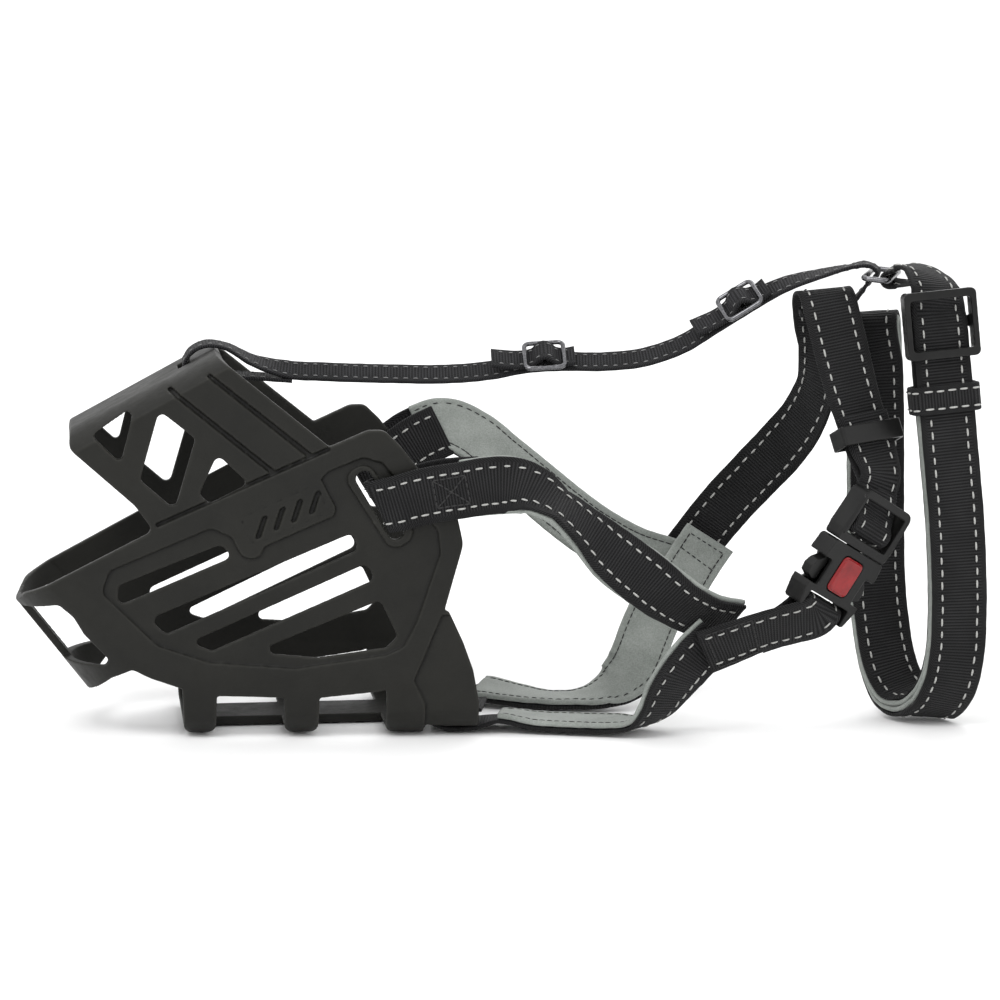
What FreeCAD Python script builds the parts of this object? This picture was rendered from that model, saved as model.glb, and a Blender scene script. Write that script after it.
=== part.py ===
import FreeCAD, Part
import math
import os

from FreeCAD import Placement, Rotation, Vector

# A dog's basket muzzle: a moulded rubber basket, lined webbing straps, a side-release buckle,
# a forehead strap with two wire sliders and a folded collar loop. Millimetres.
# +X from the nose to the neck, +Z up, -Y is the dog's left side as the strap buckle lies.
# The origin is the middle of the flat bar under the basket.

os.makedirs("parts", exist_ok=True)
doc = FreeCAD.newDocument("BasketMuzzle")

SIZES = {
    "nose_radius": 34.0,
    "nose_centre_x": -71.0,
    "rear_x": 95.0,
    "side_taper": 0.11,
    "rake": 0.77,
    "rake_level": 50.0,
    "wall": 3.4,
    "step_depth": 1.3,
    "crown_level": 108.5,
    "crown_x": -81.0,
    "crown_slope": 0.52,
    "crown_round": 24.0,
    "keel_round": 14.0,
    "basket_top": 150.0,
    "webbing_width": 20.0,
    "webbing_thick": 1.6,
    "lining_width": 20.6,
    "lining_thick": 2.0,
    "thin_width": 10.0,
    "thin_thick": 1.4,
    "layer_gap": 0.3,
    "buckle_width": 28.0,
    "buckle_thick": 9.0,
    "socket_length": 26.5,
    "plug_length": 20.5,
    "prong_length": 17.0,
    "prong_thick": 3.2,
    "badge_thick": 1.2,
    "keeper_height": 7.0,
    "slider_wire": 1.7,
    "slider_length": 14.0,
    "slider_width": 14.0,
    "ring_wire": 2.0,
    "glide_width": 26.0,
    "glide_height": 24.0,
    "sleeve_height": 10.0,
    "sleeve_thick": 1.5,
}

sheet = doc.addObject("Spreadsheet::Sheet", "Sizes")
for row, (alias, value) in enumerate(SIZES.items(), start=1):
    sheet.set("A%d" % row, alias)
    sheet.set("B%d" % row, str(value))
    sheet.setAlias("B%d" % row, alias)
doc.recompute()

NODES = []


def size(alias):
    """A driving dimension, read from the sheet."""
    return float(getattr(sheet, alias))


def bind(thing, prop, expression):
    """Ties a property to the sheet; bare aliases get the sheet's name."""
    for alias in sorted(SIZES, key=len, reverse=True):
        expression = expression.replace("@" + alias, "Sizes." + alias)
    thing.setExpression(prop, expression)


def keep(thing, label):
    """Marks an object as one of the pieces that are written out."""
    thing.Label = label
    NODES.append(thing)
    return thing


# ---------------------------------------------------------------- sketches and solids


def corner_arc(before, corner, after, radius):
    """Start, end and centre of the arc that rounds one corner of an outline."""
    a = (before - corner).normalize()
    b = (after - corner).normalize()
    half = math.acos(max(-1.0, min(1.0, a.dot(b)))) / 2
    run = radius / math.tan(half)
    run = min(run, 0.45 * (before - corner).Length, 0.45 * (after - corner).Length)
    r = run * math.tan(half)
    centre = corner + (a + b).normalize() * (r / math.sin(half))
    return corner + a * run, corner + b * run, centre, r


def outline(sketch, points, radius):
    """Draws a closed outline with rounded corners; a point's third number is its own radius."""
    pts = [Vector(point[0], point[1], 0) for point in points]
    n = len(pts)
    arcs = []
    for i in range(n):
        own = points[i][2] if len(points[i]) > 2 else radius
        arcs.append(corner_arc(pts[i - 1], pts[i], pts[(i + 1) % n], own))
    for i in range(n):
        start, end, centre, r = arcs[i]
        middle = centre + ((start + end) / 2 - centre).normalize() * r
        sketch.addGeometry(Part.Arc(start, middle, end), False)
        sketch.addGeometry(Part.LineSegment(end, arcs[(i + 1) % n][0]), False)


def side_sketch(name, points, radius):
    """A sketch on the XZ plane, drawn as seen from the dog's left."""
    sketch = doc.addObject("Sketcher::SketchObject", name)
    sketch.Placement = Placement(Vector(0, 0, 0), Rotation(Vector(1, 0, 0), 90))
    outline(sketch, points, radius)
    return sketch


def extrude(name, sketch, vector, length, both=False):
    """A solid pushed out from a sketch along a vector; length is a sheet expression."""
    solid = doc.addObject("Part::Extrusion", name)
    solid.Base = sketch
    solid.DirMode = "Custom"
    solid.Dir = Vector(*vector)
    solid.Solid = True
    solid.Symmetric = both
    bind(solid, "LengthFwd", length)
    return solid


def combine(kind, name, first, others):
    """Part::MultiCommon or Part::MultiFuse of several, or Part::Cut of two."""
    if kind == "cut":
        tool = others[0]
        if len(others) > 1:
            tool = combine("fuse", name + "Tools", others[0], others[1:])
        cut = doc.addObject("Part::Cut", name)
        cut.Base = first
        cut.Tool = tool
        return cut
    both = doc.addObject("Part::MultiCommon" if kind == "common" else "Part::MultiFuse", name)
    both.Shapes = [first] + list(others)
    return both


# ---------------------------------------------------------------- the basket


def plan_prism(name, inset):
    """The U-shaped plan, pushed up along the rake of the nose."""
    slope = size("side_taper")
    r = size("nose_radius") - inset
    cx = size("nose_centre_x")
    lean = math.atan(slope)
    tx = cx - r * math.sin(lean)
    ty = r * math.cos(lean)
    rear = size("rear_x")
    wide = ty + (rear - tx) * slope
    low = -8.0
    sketch = doc.addObject("Sketcher::SketchObject", name + "Plan")
    shift = size("rake") * (size("rake_level") - low)
    sketch.Placement = Placement(Vector(shift, 0, low), Rotation())
    upper = Vector(tx, ty, 0)
    lower = Vector(tx, -ty, 0)
    sketch.addGeometry(Part.Arc(upper, Vector(cx - r, 0, 0), lower), False)
    sketch.addGeometry(Part.LineSegment(lower, Vector(rear, -wide, 0)), False)
    sketch.addGeometry(Part.LineSegment(Vector(rear, -wide, 0), Vector(rear, wide, 0)), False)
    sketch.addGeometry(Part.LineSegment(Vector(rear, wide, 0), upper), False)
    lean_vector = (-size("rake"), 0, 1)
    steep = math.hypot(size("rake"), 1)
    return extrude(name, sketch, lean_vector, "(@basket_top + 8) * %.6f" % steep)


def arch_section(name, x, half, top, bottom, radius, upward):
    """One arch-shaped cross-section on a plane of constant X."""
    sketch = doc.addObject("Sketcher::SketchObject", name)
    turn = Rotation(Vector(0, 1, 0), Vector(0, 0, 1), Vector(1, 0, 0), "XYZ")
    sketch.Placement = Placement(Vector(x, 0, 0), turn)
    s = math.sqrt(0.5)
    if not upward:
        top, bottom = -bottom, -top
    flip = 1 if upward else -1
    a = Vector(-half, flip * (top - radius), 0)
    b = Vector(-half + radius, flip * top, 0)
    c = Vector(half - radius, flip * top, 0)
    d = Vector(half, flip * (top - radius), 0)
    am = Vector(-half + radius * (1 - s), flip * (top - radius * (1 - s)), 0)
    dm = Vector(half - radius * (1 - s), flip * (top - radius * (1 - s)), 0)
    e = Vector(half, flip * bottom, 0)
    f = Vector(-half, flip * bottom, 0)
    sketch.addGeometry(Part.Arc(a, am, b), False)
    sketch.addGeometry(Part.LineSegment(b, c), False)
    sketch.addGeometry(Part.Arc(c, dm, d), False)
    sketch.addGeometry(Part.LineSegment(d, e), False)
    sketch.addGeometry(Part.LineSegment(e, f), False)
    sketch.addGeometry(Part.LineSegment(f, a), False)
    return sketch


def tunnel(name, sections):
    """A ruled solid through arch sections."""
    solid = doc.addObject("Part::Loft", name)
    solid.Sections = sections
    solid.Solid = True
    solid.Ruled = True
    return solid


def crown_z(x):
    return size("crown_level") + size("crown_slope") * (x - size("crown_x"))


def basket_form(name, inset):
    """The basket's closed outer form, shrunk evenly by an inset."""
    prism = plan_prism(name + "Plan", inset)
    drop = inset * math.hypot(1, size("crown_slope"))
    front, back = -130.0, 90.0
    round_top = size("crown_round") - inset
    crown = tunnel(
        name + "Crown",
        [
            arch_section(name + "CrownA", front, 31.0 - inset, crown_z(front) - drop, -40, round_top, True),
            arch_section(name + "CrownB", back, 62.0 - inset, crown_z(back) - drop, -40, round_top, True),
        ],
    )
    round_low = size("keel_round") - inset
    keel = tunnel(
        name + "Keel",
        [
            arch_section(name + "KeelA", front, 26.0 - inset, 260, inset - 0.3, round_low, False),
            arch_section(name + "KeelB", back, 49.0 - inset, 260, inset - 0.3, round_low, False),
        ],
    )
    return combine("common", name, prism, [crown, keel])


def silhouette():
    """What the basket shows from the side: front ring, cap, ear lobes, side panel, legs, chin plate."""
    body = [
        (-79, 11), (-130, 11), (-130, 45.5), (-101.4, 46.2, 2), (-98.4, 50.6, 3), (-53, 74),
        (-59.5, 83), (-82, 103, 3), (-81.2, 110, 2.5), (-60, 150), (-41, 150), (-30, 135),
        (8.5, 103.5, 1.2), (22, 109.4, 5), (27.5, 109.4, 4), (33, 104, 6), (53, 78.5, 6),
        (55, 69, 8), (48.5, 46, 5), (47, 40), (41, 27), (36, 20), (26, 16.5), (3, 14), (-33, 15),
        (-42, 17), (-55, 21.5), (-61, 24.5), (-68, 21),
    ]
    legs = [
        [(-43, 0, 3.6), (-44, 30), (-31, 30), (-32, 0, 3.6)],
        [(-7.5, 0, 3.6), (-8.5, 30), (5, 30), (4, 0, 3.6)],
        [(28, 0, 3.6), (28, 32), (44, 32), (40.5, 14), (40, 0, 3.2)],
    ]
    chin = [(38, -4), (36, 22), (46, 46), (50, 45), (55, 34), (58.5, 24), (60.5, 13), (61, -4)]
    pieces = [extrude("SideView", side_sketch("SideOutline", body, 2.2), (0, 1, 0), "300", True)]
    for i, leg in enumerate(legs):
        pieces.append(
            extrude("Leg%d" % i, side_sketch("LegOutline%d" % i, leg, 0.8), (0, 1, 0), "300", True)
        )
    pieces.append(
        extrude("ChinSide", side_sketch("ChinOutline", chin, 1.5), (0, 1, 0), "300", True)
    )
    bar = doc.addObject("Part::Box", "UndersideBar")
    bar.Length = 103
    bar.Width = 25
    bar.Height = 10
    bar.Placement = Placement(Vector(-42.4, -12.5, -4), Rotation())
    pieces.append(bar)
    return combine("fuse", "Silhouette", pieces[0], pieces[1:])


def openings():
    """The windows and slots that go through both sides."""
    shapes = {
        "CapFrontWindow": ([(-74, 107.5), (-59, 117.5), (-64, 98)], 1.5),
        "CapDiamond": ([(-50.5, 116.5), (-38, 106.5), (-45.5, 81.5), (-57.5, 92)], 2.0),
        "CapRearWindow": ([(-30.5, 101), (-19.5, 90.5), (-33.5, 83.5), (-37, 87)], 2.0),
        "UpperSlot": ([(-66, 47), (-65.5, 54.5), (-29.5, 69), (-25.5, 64.5)], 2.4),
        "MiddleSlot": ([(-55, 42.5), (-49, 37), (18.5, 67), (16.5, 73)], 2.4),
        "LowerSlot": ([(-41, 34), (-33, 31), (24.5, 56.5), (21, 62)], 2.4),
        "RearSlot": ([(-18.5, 30.5), (26, 49), (32, 36), (28, 32), (4, 28.5)], 1.8),
        "CheekSlot": ([(16.6, 93.2), (21.6, 96), (35.2, 72.6), (30.2, 69.8)], 2.6),
    }
    tools = []
    for name, (points, radius) in shapes.items():
        sketch = side_sketch(name + "Outline", points, radius)
        tools.append(extrude(name, sketch, (0, 1, 0), "300", True))
    tools += front_openings()
    tools += strap_slots()
    return tools


def front_openings():
    """The two windows in the front ring, either side of its centre bar."""
    tools = []
    points = [
        (-125, 39), (-86.5, 47.6), (-81.3, 43.2, 5), (-77.8, 37, 5), (-69.2, 28, 1.5),
        (-70.4, 25.4, 1.5), (-100, 24.8),
    ]
    for hand in (-1, 1):
        sketch = side_sketch("NoseWindow%s" % ("Left" if hand < 0 else "Right"), points, 2.0)
        sketch.Placement = Placement(
            Vector(0, hand * 3.5, 0), Rotation(Vector(1, 0, 0), 90)
        )
        tool = extrude(sketch.Name + "Cut", sketch, (0, hand, 0), "31")
        tools.append(tool)
    return tools


def strap_slots():
    """The small slot in the crown for the forehead strap and two in the chin plate."""
    tools = []
    crown = doc.addObject("Part::Box", "CrownSlot")
    crown.Length = 4.4
    crown.Width = 14
    crown.Height = 26
    crown.Placement = Placement(Vector(-42.6, -7, 116), Rotation())
    tools.append(crown)
    for hand in (-1, 1):
        slot = doc.addObject("Part::Box", "ChinSlot%s" % ("Left" if hand < 0 else "Right"))
        slot.Length = 6.0
        slot.Width = 22.5
        slot.Height = 14
        slot.Placement = Placement(Vector(42.4, hand * 25.5 - 11.25, -4), Rotation())
        tools.append(slot)
        channel = doc.addObject("Part::Box", "ChinChannel%s" % ("Left" if hand < 0 else "Right"))
        channel.Length = 22
        channel.Width = 26
        channel.Height = 6.7
        channel.Placement = Placement(Vector(42.4, hand * 25 - 13, -4), Rotation())
        tools.append(channel)
    ground = doc.addObject("Part::Box", "FlatUnderside")
    ground.Length = 300
    ground.Width = 160
    ground.Height = 10
    ground.Placement = Placement(Vector(-150, -80, -10), Rotation())
    tools.append(ground)
    return tools


def chin_bars():
    """A bar over each channel, between the slot and the plate's rear edge; the strap loops round it."""
    bars = []
    for hand in (-1, 1):
        bar = doc.addObject("Part::Box", "ChinBar%s" % ("Left" if hand < 0 else "Right"))
        bar.Length = 10.2
        bar.Width = 26
        bar.Height = 2.9
        bar.Placement = Placement(Vector(48.8, hand * 25 - 13, 2.7), Rotation())
        bars.append(bar)
    return bars


def groove_field():
    """The sunk field round the slots, less the raised name-plate blank."""
    field = [
        (-71.5, 52), (-68.5, 60), (-33, 75), (-26, 72), (-22, 64.5), (-16.5, 64),
        (-12, 74), (8, 95), (20, 100), (27, 98), (46, 74), (47, 66), (38.5, 41),
        (34, 32.5), (28, 29.5), (-4, 24.8), (-34, 27), (-52, 33),
    ]
    sketch = side_sketch("FieldOutline", field, 3.5)
    deep = extrude("Field", sketch, (0, 1, 0), "300", True)
    plate = [(-26.5, 79.5), (4.5, 94), (11.5, 80), (-20, 66)]
    raised = extrude("Plate", side_sketch("PlateOutline", plate, 3.0), (0, 1, 0), "300", True)
    rim = extrude(
        "CheekRim",
        side_sketch("CheekRimOutline", [(13, 93.5), (21.5, 98.5), (39, 72), (30, 66.5)], 4.5),
        (0, 1, 0), "300", True,
    )
    return combine("cut", "SunkField", deep, [raised, rim])


def plate_line():
    """The fine groove that frames the middle of the blank."""
    outer = [(-23.2, 78.6), (3.6, 91), (8.6, 80.6), (-18.6, 68.4)]
    inner = [(-22.2, 78.2), (3.2, 89.9), (7.5, 80.9), (-18.2, 69.4)]
    sketches = [side_sketch("LineOuter", outer, 2.4), side_sketch("LineInner", inner, 1.8)]
    names = ["LineOuterSolid", "LineInnerSolid"]
    solids = [extrude(name, s, (0, 1, 0), "300", True) for name, s in zip(names, sketches)]
    return combine("cut", "PlateLine", solids[0], [solids[1]])


def relief():
    """Shallow steps: the chin plate, the bands of the cap, and slanted bars on the blank."""
    tools = [groove_field()]
    chin = [(47.5, 44), (44.5, 37), (40.6, 27.5), (37.5, 20.5), (41.5, 12), (41.5, -6),
            (75, -6), (75, 44)]
    tools.append(extrude("ChinStep", side_sketch("ChinStepOutline", chin, 1.0), (0, 1, 0), "300", True))
    bands = [
        [(-47.6, 123.4), (-46.2, 124.5), (-10.4, 95.2), (-11.8, 93.9)],
        [(-34.3, 128.7), (-32.8, 129.5), (2.5, 101.1), (1.1, 99.7)],
        [(-52.5, 76.6), (-52, 75.2), (9, 102.4), (8.4, 103.8)],
    ]
    for i, band in enumerate(bands):
        sketch = side_sketch("BandLine%d" % i, band, 0.3)
        tools.append(extrude("Band%d" % i, sketch, (0, 1, 0), "300", True))
    tools.append(plate_line())
    for i in range(4):
        x = -15.5 + 6.2 * i
        z = 74.0 + 2.9 * i
        bar = [(x - 2.4, z - 3.4), (x - 0.2, z - 2.4), (x + 2.6, z + 6.0), (x + 0.4, z + 5.0)]
        sketch = side_sketch("PlateBar%d" % i, bar, 0.7)
        tools.append(extrude("PlateBarCut%d" % i, sketch, (0, 1, 0), "300", True))
    return tools


def make_basket():
    """The one-piece rubber basket."""
    outer = basket_form("Outer", 0.0)
    skin = basket_form("Skin", size("step_depth"))
    inner = basket_form("Inner", size("wall"))
    hollow = combine("cut", "Hollow", outer, [inner])
    trimmed = combine("common", "Trimmed", hollow, [silhouette()])
    pierced = combine("cut", "Pierced", trimmed, openings())
    layer = combine("cut", "OuterLayer", basket_form("OuterCopy", -0.5), [skin])
    tools = relief()
    marks = combine("fuse", "Marks", tools[0], tools[1:])
    carve = combine("common", "Carve", layer, [marks])
    carved = combine("cut", "Carved", pierced, [carve])
    basket = combine("fuse", "Basket", carved, chin_bars())
    keep(basket, "basket_shell")


# ---------------------------------------------------------------- straps


def frames(stations):
    """Position, width, travel and face directions at each station of a strap."""
    spots = [Vector(*s[:3]) for s in stations]
    out = []
    for i, spot in enumerate(spots):
        ahead = spots[min(i + 1, len(spots) - 1)]
        behind = spots[max(i - 1, 0)]
        travel = (ahead - behind).normalize()
        if 0 < i < len(spots) - 1:
            one = (spots[i + 1] - spot).normalize()
            two = (spot - spots[i - 1]).normalize()
            travel = (one + two).normalize()
        width = Vector(*stations[i][3:6])
        width = (width - travel * width.dot(travel)).normalize()
        out.append((spot, width, travel, width.cross(travel)))
    return out


def smooth(run):
    """More frames between the given ones, closer together where the strap bends or twists."""
    out = [run[0]]
    for i in range(len(run) - 1):
        p0, w0, t0, n0 = run[i]
        p1, w1, t1, n1 = run[i + 1]
        span = (p1 - p0).Length
        turn = math.degrees(max(t0.getAngle(t1), w0.getAngle(w1)))
        parts = max(1, math.ceil(turn / 16), math.ceil(span / 9))
        for k in range(1, parts + 1):
            u = k / parts
            a = 2 * u**3 - 3 * u**2 + 1
            b = u**3 - 2 * u**2 + u
            c = -2 * u**3 + 3 * u**2
            d = u**3 - u**2
            spot = p0 * a + t0 * (b * span) + p1 * c + t1 * (d * span)
            e = 6 * u * u - 6 * u
            speed = p0 * (e / span) + t0 * (3 * u * u - 4 * u + 1)
            travel = (speed + p1 * (-e / span) + t1 * (3 * u * u - 2 * u)).normalize()
            width = w0 * (1 - u) + w1 * u
            width = (width - travel * width.dot(travel)).normalize()
            out.append((spot, width, travel, width.cross(travel)))
    return out


def shifted(run, offset):
    """The same run of frames moved along its face normal."""
    return [(p + n * offset, w, t, n) for p, w, t, n in run]


def folded(run, first, last):
    """A closed-back loop: out along one side of a run, round its end, and back on the other."""
    total = len(run) - 1
    out = []
    for i, (p, w, t, n) in enumerate(run):
        reach = first + (last - first) * max(0.0, (i - total + 1.5) / 1.5)
        out.append((p + n * reach, w, t, n))
    p, w, t, n = run[-1]
    for degrees in (45, 90, 135):
        a = math.radians(degrees)
        spot = p + (t * math.sin(a) + n * math.cos(a)) * last
        travel = t * math.cos(a) - n * math.sin(a)
        out.append((spot, w, travel, w.cross(travel)))
    for i in range(total, -1, -1):
        p, w, t, n = run[i]
        reach = first + (last - first) * max(0.0, (i - total + 1.5) / 1.5)
        out.append((p - n * reach, w, t * -1, n * -1))
    return out


def ribbon(label, run, width, thick):
    """A flat strap lofted through rectangular sections; width and thick are aliases."""
    w = size(width)
    t = size(thick)
    sections = []
    for i, (spot, across, travel, face) in enumerate(smooth(run)):
        section = doc.addObject("Part::Plane", "%s_%03d" % (label, i))
        bind(section, "Length", "@" + width)
        bind(section, "Width", "@" + thick)
        turn = Rotation(across, face, travel * -1, "XYZ")
        section.Placement = Placement(spot - across * (w / 2) - face * (t / 2), turn)
        sections.append(section)
    strap = doc.addObject("Part::Loft", label)
    strap.Sections = sections
    strap.Solid = True
    strap.Ruled = True
    return keep(strap, label)


def lining_offset():
    return size("webbing_thick") / 2 + size("layer_gap") + size("lining_thick") / 2


def make_cheek_straps():
    """Each cheek strap goes through its slot in the basket and folds back inside."""
    near = [
        (61, -46.6, 90.4, -0.15, 0, 1), (53.5, -41.4, 89.6, -0.18, 0, 1),
        (47, -38.8, 88.4, -0.22, 0, 0.98), (39, -38.2, 86.4, -0.3, 0, 0.95),
        (31.5, -37.6, 83.8, -0.45, 0, 0.88), (25.4, -41, 82.4, -0.5, 0, 0.86),
        (30.6, -44.9, 83.6, -0.42, 0, 0.9), (39, -46.2, 86, -0.24, 0, 0.97),
        (54.5, -49, 88.9, -0.13, 0, 0.99), (66.7, -54.6, 91.2, -0.12, 0.2, 0.97),
        (77.2, -59.6, 90.7, 0, 0.7, 0.7), (87, -62, 85, 0.28, 0.88, 0.38),
        (96, -62, 77, 0.43, 0.77, 0.47), (105, -61.5, 68, 0.58, 0.42, 0.7),
        (117, -60, 58, 0.48, 0, 0.88), (129, -57.4, 48.5, 0.3, -0.5, 0.8),
        (140, -52.6, 42.4, 0.2, -0.64, 0.75), (150, -48.4, 39.6, 0.2, -0.64, 0.75),
    ]
    far = [
        (57, 42.6, 99, -0.33, 0.2, 0.9), (47.5, 40, 95, -0.36, 0.05, 0.92),
        (39.5, 38.2, 89.8, -0.42, 0, 0.9), (31.5, 37.6, 84.8, -0.5, 0, 0.86),
        (25.4, 41, 82.6, -0.5, 0, 0.86), (30.4, 45, 85.6, -0.46, 0, 0.88),
        (38, 46.2, 91.4, -0.4, 0, 0.9), (48.5, 48, 97.6, -0.33, 0.15, 0.9),
        (58.4, 48.4, 100, -0.15, 0.5, 0.84), (68.8, 46, 95.8, 0.2, 0.5, 0.85),
        (79, 42.4, 87.5, 0.35, 0.4, 0.85), (90, 38, 78.5, 0.42, 0.3, 0.86),
        (101, 33, 69.5, 0.45, 0.2, 0.87), (112, 29, 61.5, 0.45, 0.1, 0.88),
        (126, 25, 54, 0.42, 0, 0.9), (140, 21.6, 49.5, 0.36, 0, 0.93),
    ]
    run = frames(near)
    ribbon("cheek_strap_near_webbing", run, "webbing_width", "webbing_thick")
    ribbon("cheek_strap_near_lining", shifted(run[8:], lining_offset()), "lining_width", "lining_thick")
    run = frames(far)
    ribbon("cheek_strap_far_webbing", run, "webbing_width", "webbing_thick")
    ribbon("cheek_strap_far_lining", shifted(run[7:], -lining_offset()), "lining_width", "lining_thick")


def make_chin_straps():
    """Each chin strap comes under the chin plate, runs back along the ground and turns up."""
    near = [
        (64, -29, 8.6, 0, -1, 0), (55, -27, 7.6, 0, -1, 0), (48, -25.5, 7.3, 0, -1, 0),
        (44.6, -25.5, 4.4, 0, -1, 0), (48.5, -25.6, 1.55, 0, -1, 0), (61, -27, 1.5, 0, -1, 0),
        (70, -28.5, 3.0, 0, -1, 0.1), (83, -32, 1.6, 0, -1, 0), (96, -36, 1.45, 0, -1, 0),
        (109, -40.5, 1.7, -0.3, -0.95, 0), (118, -44.5, 2.6, -0.45, -0.88, 0.1),
        (123.5, -48, 7.5, -0.62, -0.76, 0.2), (127.5, -51, 15, -0.75, -0.58, 0.32),
        (131.5, -54.2, 22, -0.78, -0.46, 0.42), (137, -55.2, 29, -0.77, -0.42, 0.48),
        (144, -55, 35.2, -0.74, -0.4, 0.54),
    ]
    far = [
        (64, 27.5, 8.6, 0, 1, 0), (55, 26.5, 7.6, 0, 1, 0), (48, 25.5, 7.3, 0, 1, 0),
        (44.6, 25.5, 4.4, 0, 1, 0), (48.5, 25.4, 1.55, 0, 1, 0), (61, 22.6, 1.5, 0, 1, 0),
        (68, 19.5, 3.6, 0, 1, 0.1), (78, 14, 2.6, 0, 1, 0.1), (90, 8, 1.45, 0, 1, 0),
        (102, 5, 1.7, 0, 1, 0), (112, 5, 3.6, -0.35, 0.9, 0.1), (119.5, 6.6, 8, -0.75, 0.6, 0.2),
        (124.5, 9, 14, -0.96, 0.25, 0.15), (129, 12.4, 24, -0.99, 0.1, 0.1),
        (134, 16, 35, -0.96, 0, 0.27), (139, 18.6, 45, -0.9, 0, 0.42),
    ]
    run = frames(near)
    ribbon("chin_strap_near_webbing", run, "webbing_width", "webbing_thick")
    ribbon("chin_strap_near_lining", shifted(run[6:], lining_offset()), "lining_width", "lining_thick")
    run = frames(far)
    ribbon("chin_strap_far_webbing", run, "webbing_width", "webbing_thick")
    ribbon("chin_strap_far_lining", shifted(run[6:], -lining_offset()), "lining_width", "lining_thick")


def make_head_strap():
    """One unlined webbing: far junction, over the nape, down to the buckle and back through its keeper."""
    run = frames([
        (146, 24.6, 52, -0.66, 0, 0.75), (152, 20.6, 61.5, -0.8, 0, 0.6), (160, 15.6, 73, -0.83, 0.1, 0.55),
        (169, 11, 84, -0.84, 0.15, 0.53), (177.5, 6, 94.5, -0.78, 0.4, 0.48),
        (184.5, 0, 105.5, -0.6, 0.66, 0.45), (188.5, -6, 118, -0.5, 0.8, 0.3),
        (189.5, -9.5, 132, -0.66, 0.72, 0.1), (188.5, -12.4, 145, -0.92, 0.38, -0.05),
        (187.5, -16.6, 152.6, -0.97, 0.2, -0.1), (187.8, -22, 155, -0.99, 0.05, -0.1),
        (188.2, -27.4, 152.4, -0.99, 0, -0.14),
        (189.6, -31, 145, -0.98, 0, -0.12), (191.5, -33.6, 136, -1, 0, -0.06),
        (194, -37, 124, -0.99, -0.1, -0.02), (197, -41, 112, -0.96, -0.22, 0.06),
        (199.6, -45, 101, -0.93, -0.32, 0.14), (201.5, -49.2, 90.5, -0.84, -0.42, 0.34),
    ])
    a, b, n = BUCKLE_AXES
    at = BUCKLE_SEAM
    weave = [(17.2, -1.6), (12.6, 0.8), (9.0, 3.3), (5.6, 2.2), (5.4, -1.4), (8.6, -3.6), (13.5, -4.8)]
    stations = []
    for up, out in weave:
        p = at + a * up + n * out
        stations.append((p.x, p.y, p.z, -b.x, -b.y, -b.z))
    back = []
    for p, w, t, m in reversed(run[14:]):
        q = p + m * 2.3
        back.append((q.x, q.y, q.z, w.x, w.y, w.z))
    path = [(p.x, p.y, p.z, w.x, w.y, w.z) for p, w, t, m in run]
    whole = frames(path + stations + back[:3])
    ribbon("head_strap_webbing", whole, "webbing_width", "webbing_thick")


def make_patches():
    """The sewn pads where the straps meet: a grey one on the far side, webbing on the near side."""
    far = frames([
        (142.4, 13.8, 43.5, -0.67, 0, 0.74), (147.6, 13.8, 52, -0.74, 0, 0.67),
        (153.4, 12.6, 61, -0.8, 0, 0.6),
    ])
    ribbon("far_junction_patch", far, "lining_width", "lining_thick")
    a, b, n = BUCKLE_AXES
    near = [
        (138.5, -58.6, 31, -0.5, -0.42, 0.76), (149, -60.4, 35, -0.48, -0.5, 0.72),
        (160, -60.6, 40, -0.5, -0.56, 0.66), (174.0, -59.8, 41.0, -0.62, -0.54, 0.57),
    ]
    loop = []
    for down, out in ((26.0, 3.3), (23.0, 3.1), (21.5, 0.0), (23.0, -3.1), (26.0, -3.3)):
        p = BUCKLE_SEAM - a * down + n * out
        loop.append((p.x, p.y, p.z, -b.x, -b.y, -b.z))
    back = [(166.5, -52.6, 38.5, -0.62, -0.54, 0.57), (158.5, -51.4, 35.4, -0.5, -0.56, 0.66)]
    ribbon("socket_strap", frames(near + loop + back), "webbing_width", "webbing_thick")


def make_forehead_strap():
    """A thin strap from the crown to the nape, round the wire ring and back to its slider."""
    tilt = (0, -0.83, -0.55)
    flat = (0, -1, -0.12)
    path = [
        (-2, -1, 123.6) + flat, (-12, -0.6, 124.4) + flat, (-22, -0.2, 125) + flat,
        (-32, 0, 124.6) + flat, (-37.5, 0, 125.2) + flat, (-40.4, 0, 128.6) + flat,
        (-38.6, 0, 133.4) + flat, (-33, 0, 136.4) + flat, (-26, 0, 135.6) + flat,
        (-16, -0.4, 130.4) + (0, -0.95, -0.3), (-4, -1, 127) + tilt, (10, -1.6, 126) + tilt,
        (32, -3, 125.2) + tilt, (54, -5, 125) + tilt, (70, -6.6, 126.4) + tilt,
        (79, -7.6, 128.2) + tilt, (88.5, -8.6, 129.2) + tilt, (98, -9.6, 129.4) + tilt,
        (110, -11, 129.4) + tilt, (124, -13, 131) + tilt, (138, -15, 136) + tilt,
        (149, -17, 143) + tilt, (157, -18, 148) + tilt, (165, -19, 153) + tilt,
        (174, -20, 157.4) + (0, -0.9, -0.4), (186, -21.6, 161) + (-0.1, -0.95, -0.2),
        (197, -23, 163.6) + (-0.2, -0.97, 0), (204, -23.4, 164.2) + (-0.36, -0.93, 0),
        (206.9, -23.5, 161.4) + (-0.36, -0.93, 0), (204.2, -23, 158.4) + (-0.36, -0.93, 0),
        (198, -22.5, 151.4) + (-0.1, -0.99, 0), (188, -22.4, 147.6) + (0, -1, 0),
        (179, -21, 147) + (0, -0.98, -0.15),
    ]
    ribbon("forehead_strap", frames(path), "thin_width", "thin_thick")


def slider_frame(centre, travel, across):
    """The local axes of a wire slider: along the strap, across it, and out of its face."""
    t = Vector(*travel).normalize()
    w = Vector(*across)
    w = (w - t * w.dot(t)).normalize()
    return Vector(*centre), t, w, w.cross(t)


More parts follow.
